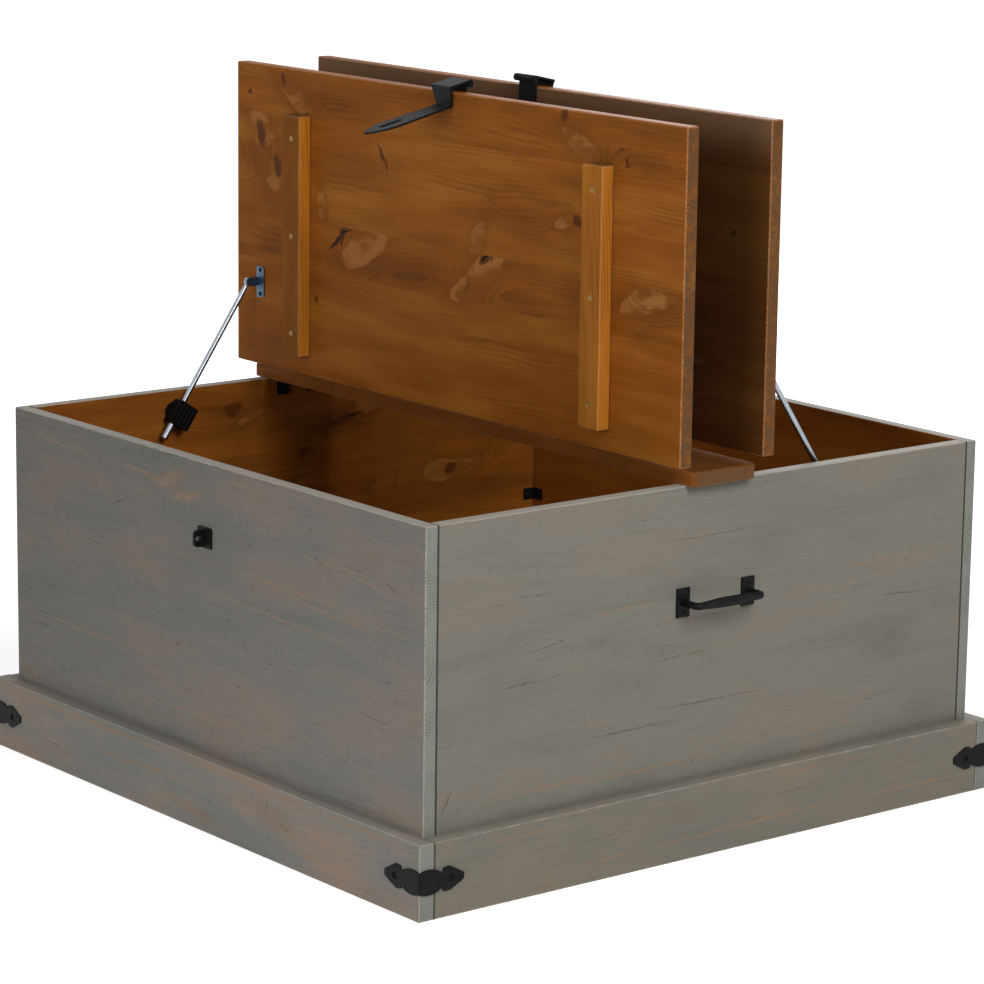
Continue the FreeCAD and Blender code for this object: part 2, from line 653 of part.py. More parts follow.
def stay_bracket():
    """Closed pose: a plate under the lid with a tab, and the rivet that carries the rod."""
    tab_x = ROD_X + STAY_EYE_THICK / 2 + STAY_TAB_GAP
    half = STAY_PLATE_LENGTH / 2
    plate = box(tab_x, tab_x + STAY_PLATE_WIDTH, STAY_PIVOT_Y - half, STAY_PIVOT_Y + half,
                LID_UNDER - STAY_PLATE, LID_UNDER)
    plate = eased(plate, STAY_PLATE_WIDTH / 4, lambda edge: along(edge, Z)
                  and edge.CenterOfMass.x > tab_x + STAY_TAB)
    tab = box(tab_x, tab_x + STAY_TAB, STAY_PIVOT_Y - STAY_EYE, STAY_PIVOT_Y + STAY_EYE,
              STAY_PIVOT_Z, LID_UNDER)
    pivot = Vector(tab_x, STAY_PIVOT_Y, STAY_PIVOT_Z)
    end = rod(STAY_EYE, pivot, pivot + X * STAY_TAB)
    rivet_end = Vector(ROD_X - STAY_EYE_THICK / 2 - KNUCKLE_GAP, STAY_PIVOT_Y, STAY_PIVOT_Z)
    rivet = rod(STAY_RIVET, pivot, rivet_end)
    head = rod(STAY_RIVET * 1.5, rivet_end, rivet_end - X * STAY_RIVET * 0.5)
    return joined([plate, tab, end, rivet, head])


def stay_rod():
    pivot = stay_pivot()
    down = stay_direction() * -1
    half = X * (STAY_EYE_THICK / 2)
    eye = rod(STAY_EYE, pivot - half, pivot + half)
    neck = Part.makeCone(STAY_EYE_THICK * 0.45, STAY_ROD, 3 * STAY_EYE, pivot, down)
    travel = (pivot - clamp_pivot()).Length
    ferrule_top = pivot + down * (travel + CLAMP_LENGTH / 2 + STAY_ROD_SPARE)
    ferrule_end = ferrule_top + down * STAY_FERRULE_LENGTH
    shaft = rod(STAY_ROD, pivot + down * (3 * STAY_EYE), ferrule_end)
    ferrule = rod(STAY_FERRULE, ferrule_top, ferrule_end)
    bore = rod(STAY_RIVET + RUN, pivot - half * 2, pivot + half * 2)
    return joined([eye, neck, shaft, ferrule]).cut(bore)


def stay_clamp():
    """A ribbed block on the rod, asymmetric about it."""
    centre = clamp_pivot()
    up = stay_direction()
    across = up.cross(X)
    back = -INNER_X + CLAMP_PIVOT_THICK + CLAMP_CLEARANCE
    front = ROD_X + STAY_ROD + CLAMP_FRONT_WALL
    half = up * (CLAMP_LENGTH / 2)
    start = Vector(back, centre.y, centre.z) - across * CLAMP_ABOVE_ROD - half
    width = across * (CLAMP_ABOVE_ROD + CLAMP_BELOW_ROD)
    corners = [start, start + width, start + width + half * 2, start + half * 2]
    block = prism(corners, X * (front - back))
    block = eased(block, ARRIS * 2, lambda edge: along(edge, X))
    grooves = []
    pitch = (CLAMP_ABOVE_ROD + CLAMP_BELOW_ROD) / CLAMP_RIBS
    for number in range(1, CLAMP_RIBS):
        middle = start + across * (pitch * number) + X * (front - back)
        grooves.append(rod(CLAMP_GROOVE / 2, middle - half, middle + half * 3))
    bore = rod(STAY_ROD + RUN, centre - half * 2, centre + half * 2)
    return block.cut(grooves + [bore])


def stay_pivot_plate():
    base = Vector(-INNER_X, CLAMP_Y, CLAMP_Z)
    return rod(CLAMP_PIVOT, base, base + X * CLAMP_PIVOT_THICK)


# ---- The whole trunk

def build():
    os.makedirs("parts", exist_ok=True)
    save_both("front", "rear", "panel", front_panel())
    save_both("right", "left", "panel", right_panel())
    save("floor_boards", floor_boards())
    save("floor_cleats", floor_cleats())
    save_both("front", "rear", "plinth", plinth_front())
    save_both("right", "left", "plinth", plinth_right())
    save("centre_rail", centre_rail())
    save_both("right", "left", "rail_brackets", right_brackets())
    save_both("front", "rear", "corner_braces", corner_braces())

    iron = corner_iron()
    save_both("front_right", "rear_left", "corner_iron", iron)
    save_both("front_left", "rear_right", "corner_iron", iron.mirror(ORIGIN, X))

    save_both("right", "left", "handle_plates", handle_plates())
    save_both("right", "left", "handle_bar", handle_bar())
    save_both("front", "rear", "staple_plate", staple_plate())
    save_both("front", "rear", "staple_loop", staple_loop())

    places = hinge_places()
    save_both("front", "rear", "hinge_rail_leaves", [hinge_leaf(x, 1) for x in places])
    save_both("front", "rear", "hinge_pins", [hinge_pin(x) for x in places])
    save_both("front", "rear", "hinge_lid_leaves", [opened(hinge_leaf(x, -1)) for x in places])

    save_both("front", "rear", "lid_board", opened(lid_board()))
    save_both("front_left", "rear_right", "batten", opened(batten(-1)))
    save_both("front_right", "rear_left", "batten", opened(batten(1)))
    seats = batten_seats(-1) + batten_seats(1)
    save_both("front", "rear", "batten_screws", [opened(countersunk(seat, 0)) for seat in seats])

    save_both("front", "rear", "hasp_leaf", opened(hasp_leaf()))
    save_both("front", "rear", "hasp_pin", opened(hasp_pin()))
    save_both("front", "rear", "hasp_strap", opened(drooped(hasp_strap())))

    save_both("front", "rear", "stay_bracket", opened(stay_bracket()))
    save_both("front", "rear", "stay_rod", stay_rod())
    save_both("front", "rear", "stay_clamp", stay_clamp())
    save_both("front", "rear", "stay_pivot_plate", stay_pivot_plate())


build()
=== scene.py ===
import bmesh
import bpy
import math
from mathutils import Matrix, Vector


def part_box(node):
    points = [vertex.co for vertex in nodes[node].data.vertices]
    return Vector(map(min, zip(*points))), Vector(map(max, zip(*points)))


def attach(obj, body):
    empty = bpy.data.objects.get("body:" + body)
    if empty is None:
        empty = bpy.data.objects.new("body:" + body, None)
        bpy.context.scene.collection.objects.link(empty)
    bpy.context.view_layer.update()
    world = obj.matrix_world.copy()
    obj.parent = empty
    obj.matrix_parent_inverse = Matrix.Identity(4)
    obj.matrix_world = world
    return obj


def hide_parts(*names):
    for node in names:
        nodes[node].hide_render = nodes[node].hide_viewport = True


# A square storage trunk of pine: grey-painted outside, brown-stained inside, with two stained
# lids standing open, black iron fittings and bright lid stays. Sizes are in millimetres, and
# a place on a board is its distance along the grain, across it and through it, from its middle.

MM = 0.001
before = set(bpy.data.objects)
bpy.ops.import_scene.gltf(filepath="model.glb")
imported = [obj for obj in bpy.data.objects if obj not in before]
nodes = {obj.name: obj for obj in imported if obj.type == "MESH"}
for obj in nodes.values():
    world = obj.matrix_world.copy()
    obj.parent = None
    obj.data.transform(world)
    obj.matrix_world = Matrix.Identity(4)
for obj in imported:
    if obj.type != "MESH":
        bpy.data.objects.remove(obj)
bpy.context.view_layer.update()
ALONG_X, ALONG_Y, ALONG_Z = 0, 1, 2
SMOOTH = {"interpolation_type": "SMOOTHSTEP"}    # a Map Range with soft ends
RGBA = {"data_type": "RGBA"}                     # a Mix of two colours
MUL = {"operation": "MULTIPLY"}
MUL_ADD = {"operation": "MULTIPLY_ADD"}          # first times second, plus third


# ---- Helpers

def linear(code):
    """An sRGB hex colour as linear red, green, blue and alpha."""
    parts = [int(code[i:i + 2], 16) / 255 for i in (1, 3, 5)]
    return tuple(p / 12.92 if p <= 0.04045 else ((p + 0.055) / 1.055) ** 2.4 for p in parts) + (1,)


def add(tree, kind, inputs=(), stops=None, **settings):
    """Adds one node. Its inputs stand in the order of its sockets, or by number or name. Each is
    a value, a hex colour, a socket, or a node whose first live output feeds it.

    A Map Range has its value, what it maps from and what it maps to, low and high; a Mix its
    share in 0, numbers in 2 and 3 and colours in 6 and 7.
    """
    node = tree.nodes.new("ShaderNode" + kind)
    for name, value in settings.items():
        setattr(node, name, value)
    if stops:
        elements = node.color_ramp.elements
        while len(elements) < len(stops):
            elements.new(0.5)
        for element, (place, colour) in zip(elements, stops):
            element.position = place
            element.color = colour
    if not isinstance(inputs, dict):
        inputs = dict(enumerate(inputs))
    for name, value in inputs.items():
        if isinstance(value, str):
            value = linear(value)
        if isinstance(value, bpy.types.Node):
            value = next(s for s in value.outputs if s.enabled)
        if isinstance(value, bpy.types.NodeSocket):
            tree.links.new(value, node.inputs[name])
        else:
            node.inputs[name].default_value = value
    return node


def finish(name, flat_code):
    """A new finish with an empty node tree, and the flat colour a viewport shows for it."""
    made = bpy.data.materials.new(name)
    made.use_nodes = True
    made.node_tree.nodes.clear()
    made.diffuse_color = linear(flat_code)
    return made, made.node_tree


def give(node_name, made):
    """Sets a CAD node's finish."""
    mesh = nodes[node_name].data
    mesh.materials.clear()
    mesh.materials.append(made)


def surface(tree, colour, rough, height, strength, depth, specular=0.5, metallic=0.0):
    """Ends a finish with its sheen and its relief, depth mm deep."""
    bump = add(tree, "Bump", {"Height": height, "Strength": strength, "Distance": depth * MM})
    shader = add(tree, "BsdfPrincipled", {
        "Base Color": colour, "Metallic": metallic, "Roughness": rough, "Normal": bump,
        "Specular IOR Level": specular})
    add(tree, "OutputMaterial", {"Surface": shader})


def stand(name, data):
    """A new object in the scene."""
    made = bpy.data.objects.new(name, data)
    bpy.context.scene.collection.objects.link(made)
    return made


# ---- Places on a board

MARK_DEPTH = 60.0        # half of how far a mark goes through a board


def board_place(tree, node_name, along, across):
    """A place on a board as a vector and as three numbers, and the board's half sizes."""
    low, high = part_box(node_name)
    middle, half = (low + high) * 500, (high - low) * 500
    order = (along, across, 3 - along - across)
    mm = add(tree, "VectorMath", (add(tree, "TexCoord").outputs["Object"],
                                  (1000, 1000, 1000), -middle), **MUL_ADD)
    axes = add(tree, "SeparateXYZ", (mm,))
    numbers = [axes.outputs[i] for i in order]
    return add(tree, "CombineXYZ", numbers), numbers, [half[i] for i in order]


def mottle(tree, at, scale, detail, rough, seed):
    """Noise whose cells are scale mm long along, across and through the board."""
    spot = add(tree, "Mapping", {"Vector": at, "Location": (seed, seed * 2.3, seed * 3.7),
                                 "Scale": tuple(1 / size for size in scale)})
    return add(tree, "TexNoise", {"Vector": spot, "Scale": 1.0, "Detail": detail,
                                  "Roughness": rough})


def ragged_place(tree, at, reach, size, seed):
    """The place pushed about by up to reach mm in waves size mm long, so that marks are ragged.

    The noise swings by about 0.4 to either side, and 2.4 times that is about 1.
    """
    waves = mottle(tree, at, (size * 1.6, size, size), 2.5, 0.55, seed)
    push = add(tree, "VectorMath", (waves.outputs["Color"], (0.5, 0.5, 0.5)), operation="SUBTRACT")
    return add(tree, "VectorMath", (push, (2.4 * reach, 2.4 * reach, 0), at), **MUL_ADD)


def marks_reach(tree, spot, marks):
    """How far a place is from the nearest oval mark: 0 in its middle, 1 at its rim.

    A mark is its place along and across, half length, half width and slant in degrees.
    """
    nearest = None
    for along, across, length, width, slant in marks:
        local = add(tree, "Mapping", {"Vector": spot, "Location": (along, across, 0),
                                      "Rotation": (0, 0, math.radians(slant)),
                                      "Scale": (length, width, MARK_DEPTH)}, vector_type="TEXTURE")
        reach = add(tree, "VectorMath", (local,), operation="LENGTH").outputs["Value"]
        if nearest:
            reach = add(tree, "Math", (nearest, reach), operation="MINIMUM").outputs[0]
        nearest = reach
    return nearest


def edge_distance(tree, numbers, half):
    """Millimetres from the nearest edge of the board, anywhere on its faces."""
    gaps = []
    for number, reach in zip(numbers, half):
        size = add(tree, "Math", (number,), operation="ABSOLUTE")
        gaps.append(add(tree, "Math", (reach, size), operation="SUBTRACT"))
    low = add(tree, "Math", (gaps[0], gaps[1]), operation="MINIMUM")
    high = add(tree, "Math", (gaps[0], gaps[1]), operation="MAXIMUM")
    other = add(tree, "Math", (high, gaps[2]), operation="MINIMUM")
    return add(tree, "Math", (low, other), operation="MAXIMUM")


def near_face(tree, number, half, side, depth):
    """1 within depth mm of the board's face on one side, which is the sign side, or else 0."""
    gap = add(tree, "Math", (number, side, depth - half), **MUL_ADD)
    return add(tree, "Math", (gap, 0.0), operation="GREATER_THAN")


def face_distance(tree, number, half, side):
    """Millimetres from the board's face on one side, which is the sign side."""
    return add(tree, "Math", (number, -side, half), **MUL_ADD)


def end_share(tree, facing, along, most):
    """How much of a colour is that of the cut ends: most there, and nothing elsewhere."""
    end = add(tree, "Math", (facing.outputs[along],), operation="ABSOLUTE")
    return add(tree, "MapRange", (end, 0.8, 0.95, 0.0, most), **SMOOTH)


def rub_arrises(tree, colour, board, length, start, wear, code, seed):
    """Rubs the edges pale, in bites length mm long; wear says how strongly."""
    at, numbers, half = board
    edge = edge_distance(tree, numbers, half)
    nibble = mottle(tree, at, (length, 3, 3), 2.0, 0.6, seed)
    rim = add(tree, "Math", (nibble, -2.6, edge), **MUL_ADD)
    rubbed = add(tree, "MapRange", (rim, start, start + 1.4, wear, 0.0), **SMOOTH)
    return add(tree, "Mix", {0: rubbed, 6: colour, 7: code}, **RGBA)


# ---- Pine

RING = 4.4               # thickness of a year's growth
GOLDEN = 0.618034        # spreads the strips' chances evenly
STRIP_SPREAD = 9000.0    # how far along the same noise one strip lies from another
PITH_DRIFT = 62.0        # how far the pith wanders sideways along a strip
PITH_SIDE = 70.0         # how far the piths of different strips differ sideways
PITH_DEEP = 30.0         # and in depth below the strip
PITH_NEAR = 16.0         # its least depth
TAPER = 0.012            # of the trunk that the strip was sawn from
KNOT_SWELL = 26.0        # how far the rings go round a knot


def strip_chance(seed, number):
    """A fraction that tells one strip of a board from another."""
    return math.modf((seed + number) * GOLDEN + 0.37)[0]


def strip_place(tree, numbers, half, strips, seed):
    """The place within its own glued strip, so that the figure breaks off at each glue line.

    strips holds each strip's share of the width and how pale it is, from 0 to 1.
    """
    along, across, through = numbers
    width = 2 * half[1]
    start, stops = 0.0, []
    for number, (share, pale) in enumerate(strips):
        stops.append((start, (start + share / 2, strip_chance(seed, number), pale, 1)))
        start += share
    spot = add(tree, "Math", (across, 1 / width, 0.5), **MUL_ADD)
    strip = add(tree, "ValToRGB", (spot,), stops=stops)
    strip.color_ramp.interpolation = "CONSTANT"
    centre, chance, pale = add(tree, "SeparateColor", (strip,)).outputs
    middle = add(tree, "Math", (centre, width, -half[1]), **MUL_ADD)
    local = add(tree, "Math", (across, middle), operation="SUBTRACT")
    far = add(tree, "Math", (chance, STRIP_SPREAD, along), **MUL_ADD)
    return {"at": add(tree, "CombineXYZ", (far, local, through)), "far": far,
            "local": local, "chance": chance, "pale": pale}


def in_strips(marks, half, strips, seed):
    """Marks moved from places on the board to places in the strips that they lie on."""
    widths = [share * 2 * half[1] for share, _ in strips]
    moved = []
    for along, across, length, width, slant in marks:
        start, number = -half[1], 0
        while number < len(strips) - 1 and across > start + widths[number]:
            start += widths[number]
            number += 1
        moved.append((along + strip_chance(seed, number) * STRIP_SPREAD,
                      across - start - widths[number] / 2, length, width, slant))
    return moved


def pine_rings(tree, strip, through, bulge, seed):
    """How far a place is in dark late wood, on the growth rings of a flat-sawn pine strip.

    The rings follow the distance from a pith that wanders below the strip, and go round the
    knots that bulge tells the distance from, if there are any.
    """
    swung, far, local, chance = [strip[name] for name in ("at", "far", "local", "chance")]
    bend = mottle(tree, swung, (420, 80, 80), 2.0, 0.5, seed)
    wave = mottle(tree, swung, (110, 22, 22), 1.5, 0.5, seed + 3)
    drift = add(tree, "Math", (bend, PITH_DRIFT, -PITH_DRIFT / 2), **MUL_ADD)
    side = add(tree, "Math", (chance, PITH_SIDE, -PITH_SIDE / 2), **MUL_ADD)
    out = add(tree, "Math", (local, side), operation="ADD")
    out = add(tree, "Math", (out, drift), operation="ADD")
    deep = add(tree, "Math", (chance, PITH_DEEP, through), **MUL_ADD)
    deep = add(tree, "Math", (deep, PITH_NEAR), operation="ADD")
    flat = add(tree, "CombineXYZ", (out, deep))
    radius = add(tree, "VectorMath", (flat,), operation="LENGTH").outputs["Value"]
    radius = add(tree, "Math", (far, TAPER, radius), **MUL_ADD)
    radius = add(tree, "Math", (wave, 4.5, radius), **MUL_ADD)
    if bulge:
        square = add(tree, "Math", (bulge, bulge), **MUL)
        square = add(tree, "Math", (square, -0.45), **MUL)
        swell = add(tree, "Math", (square,), operation="EXPONENT")
        radius = add(tree, "Math", (swell, KNOT_SWELL, radius), **MUL_ADD)
    rings = add(tree, "Math", (radius, 1 / RING), **MUL)
    phase = add(tree, "Math", (rings,), operation="FRACT")
    return add(tree, "ValToRGB", (phase,), stops=[
        (0.0, (0, 0, 0, 1)), (0.45, (0.12, 0.12, 0.12, 1)),
        (0.84, (1, 1, 1, 1)), (1.0, (0, 0, 0, 1))])


def stain(tree, board, strips, marks, seed, tones):
    """Pine under a thin brown stain: honey and umber clouds that break off at the glue lines,
    late and early wood lines, pale flames where the grain turns up, dark knots and cracks.

    marks holds the flames, the knots, the cracks and, if there are any, the deep swirls;
    tones the pale, middle and deep stain and that of the flames.
    """
    _, numbers, half = board
    flames, knots, cracks = marks[:3]
    pale, middle, deep, bared = [linear(code) for code in tones]
    strip = strip_place(tree, numbers, half, strips, seed)
    swung = strip["at"]
    ragged = ragged_place(tree, swung, 11.0, 32.0, seed + 5) if any(marks) else None
    flames, knots = [in_strips(each, half, strips, seed) for each in (flames, knots)]
    flame = marks_reach(tree, ragged, flames)
    late = pine_rings(tree, strip, numbers[2], flame, seed)
    cloud = mottle(tree, swung, (190, 34, 34), 3.5, 0.55, seed + 7)
    fibre = mottle(tree, swung, (34, 1.0, 1.0), 2.0, 0.6, seed + 9)
    zone = mottle(tree, swung, (210, 30, 30), 2.0, 0.5, seed + 13)

    # Clouds of stain, deeper and with stronger lines in a swirl
    level = add(tree, "Math", (strip["pale"], 0.42, cloud), **MUL_ADD)
    colour = add(tree, "ValToRGB", (level,), stops=[(0.32, deep), (0.70, middle), (1.14, pale)])
    dark = add(tree, "MapRange", (zone, 0.46, 0.66, 0.12, 0.55), **SMOOTH)
    if len(marks) > 3:
        swirl = marks_reach(tree, ragged, in_strips(marks[3], half, strips, seed))
        swirl = add(tree, "MapRange", (swirl, 0.35, 1.25, 1.0, 0.0), **SMOOTH)
        under = add(tree, "Math", (swirl, 0.42), **MUL)
        colour = add(tree, "Mix", {0: under, 6: colour, 7: deep}, **RGBA)
        dark = add(tree, "Math", (swirl, 0.40, dark), **MUL_ADD, use_clamp=True)

    # Lines of late and of early wood, each where its zone lets them show
    lines = add(tree, "Math", (late, dark), **MUL)
    colour = add(tree, "Mix", {0: lines, 6: colour, 7: "#5F360F"}, **RGBA)
    early = add(tree, "MapRange", (late, 0.02, 0.10, 1.0, 0.0))
    bright = add(tree, "MapRange", (zone, 0.54, 0.36, 0.0, 0.26), **SMOOTH)
    lines = add(tree, "Math", (early, bright), **MUL)
    colour = add(tree, "Mix", {0: lines, 6: colour, 7: pale}, **RGBA)

    # Pale flames in a deeper skirt, broken by fading patches and by the late wood
    if flames:
        skirt = add(tree, "MapRange", (flame, 1.0, 2.1, 0.36, 0.0), **SMOOTH)
        colour = add(tree, "Mix", {0: skirt, 6: colour, 7: deep}, **RGBA)
        lick = add(tree, "MapRange", (flame, 0.90, 1.04, 1.0, 0.0), **SMOOTH)
        fade = mottle(tree, swung, (46, 24, 24), 2.0, 0.55, seed + 19)
        fade = add(tree, "MapRange", (fade, 0.42, 0.62, 0.10, 1.0), **SMOOTH)
        lick = add(tree, "Math", (lick, fade), **MUL)
        streak = add(tree, "Math", (late, -0.35, 1.0), **MUL_ADD)
        lick = add(tree, "Math", (lick, streak), **MUL)
        colour = add(tree, "Mix", {0: lick, 6: colour, 7: bared}, **RGBA)

    # Fibres, knots with rings of their own, and cracks
    shade = add(tree, "Math", (fibre, 0.26, 0.87), **MUL_ADD)
    colour = add(tree, "VectorMath", {0: colour, "Scale": shade}, operation="SCALE")
    if knots:
        knot = marks_reach(tree, ragged, knots)
        core = add(tree, "MapRange", (knot, 0.75, 1.35, 0.92, 0.0), **SMOOTH)
        eye = add(tree, "Math", (knot, 17.0), **MUL)
        eye = add(tree, "Math", (eye,), operation="SINE")
        eye = add(tree, "MapRange", (eye, -1.0, 1.0), **SMOOTH)
        heart = add(tree, "Mix", {0: eye, 6: "#4A260D", 7: "#5E3110"}, **RGBA)
        colour = add(tree, "Mix", {0: core, 6: colour, 7: heart}, **RGBA)
    if cracks:
        crack = marks_reach(tree, ragged, in_strips(cracks, half, strips, seed))
        split = add(tree, "MapRange", (crack, 0.7, 1.3, 1.0, 0.0), **SMOOTH)
        colour = add(tree, "Mix", {0: split, 6: colour, 7: "#170C05"}, **RGBA)
    return colour, late, fibre


def stained_board(node_name, label, along, across, strips, marks, seed, tones, wear=0.5,
                  outside=0, end_codes=("#5E452F", "#463220"), edge_lift=1.0):
    """Brown-stained planed pine: warm, low sheen, with fine pores and pale rubbed arrises.

    wear says how far the arrises are rubbed. outside is the sign of the through axis on a lid's
    weathered outer face, which painted shade darkens away from its free edge, or 0 without one.
    end_codes colour the early and the late wood of the cut ends. edge_lift says how much paler
    the long edges are, which took less stain.
    """
    made, tree = finish(label, tones[1])
    board = board_place(tree, node_name, along, across)
    at, numbers, half = board
    colour, late, fibre = stain(tree, board, strips, marks, seed, tones)

    # The weathered face, greyer towards the free edge and darkened by painted shade away from it
    if outside:
        out = near_face(tree, numbers[2], half[2], outside, 1.0)
        near_free_edge = add(tree, "MapRange", (numbers[1], half[1] - 60, half[1] - 6), **SMOOTH)
        # From painted shade of the lids' gap, away from the free edge, to weathered grey at it
        grey = add(tree, "Mix", {0: near_free_edge, 6: "#33261A", 7: "#7C6650"}, **RGBA)
        weathered_and_shaded = add(tree, "Mix", {0: 0.66, 6: colour, 7: grey}, **RGBA)
        colour = add(tree, "Mix", {0: out, 6: colour, 7: weathered_and_shaded}, **RGBA)

    # Paler long edges, then cut ends that took the stain in blotches
    facing = add(tree, "SeparateXYZ", (add(tree, "TexCoord").outputs["Normal"],))
    if edge_lift != 1.0:
        side = add(tree, "Math", (facing.outputs[across],), operation="ABSOLUTE")
        lift = add(tree, "MapRange", (side, 0.3, 0.9, 1.0, edge_lift))
        colour = add(tree, "VectorMath", {0: colour, "Scale": lift}, operation="SCALE")
    lines = add(tree, "Math", (late, 0.5), **MUL)
    ends = add(tree, "Mix", {0: lines, 6: end_codes[0], 7: end_codes[1]}, **RGBA)
    blotch = mottle(tree, at, (9, 9, 9), 3.0, 0.6, seed + 15)
    stained = add(tree, "MapRange", (blotch, 0.42, 0.66, 0.0, 0.5), **SMOOTH)
    ends = add(tree, "Mix", {0: stained, 6: ends, 7: colour}, **RGBA)
    end = end_share(tree, facing, along, 0.9)
    colour = add(tree, "Mix", {0: end, 6: colour, 7: ends}, **RGBA)

    colour = rub_arrises(tree, colour, board, 11, -1.0, wear, "#B08A6A", seed + 11)
    gloss = add(tree, "Math", (fibre, 0.18, 0.42), **MUL_ADD)
    relief = add(tree, "Math", (late, 0.5, fibre), **MUL_ADD)
    surface(tree, colour, gloss, relief, 0.3, 0.12, 0.06)
    give(node_name, made)


FOOT_GAP = 4.0           # the panels stop this far above the floor
PLINTH_HEIGHT = 88.0
PANEL_CREASE_REACH = 9.0        # of painted shade and grime up the panel, from the plinth
LEDGE_CREASE_REACH = 10.0       # of painted shade and grime over the plinth's top edge, from the panel


def painted_shade_and_grime(tree, numbers, half, facing, butted, inward, ledge):
    """How dark a painted board gets from painted shade in the joints at its ends, and from painted
    shade and grime in the crease against the plinth.
    """
    # Painted shade in the gap of the end joints, fading out within 2 mm of the ends
    joint_shade = add(tree, "Math", (numbers[0],), operation="ABSOLUTE")
    joint_shade = add(tree, "Math", (half[0], joint_shade), operation="SUBTRACT")
    if not butted:
        behind = face_distance(tree, numbers[2], half[2], inward or 1)
        joint_shade = add(tree, "Math", (joint_shade, behind), operation="MAXIMUM")
    joint_shade = add(tree, "MapRange", (joint_shade, 0.9, 1.9, 0.85, 0.0), **SMOOTH)
    # Painted shade and grime in the crease, on the plinth's top and the panel's foot
    if ledge:
        corner = face_distance(tree, numbers[2], half[2], ledge)
        upward = add(tree, "MapRange", (facing.outputs["Z"], 0.6, 0.9, 0.0, 0.36))
        crease_shade_and_grime = add(tree, "MapRange", (corner, 0.0, LEDGE_CREASE_REACH, upward, 0.0))
    else:
        corner = add(tree, "Math", (numbers[1], half[1] + FOOT_GAP - PLINTH_HEIGHT),
                     operation="ADD")
        crease_shade_and_grime = add(tree, "MapRange", (corner, 0.0, PANEL_CREASE_REACH, 0.17, 0.0))
    return add(tree, "Math", (joint_shade, crease_shade_and_grime), operation="MAXIMUM")


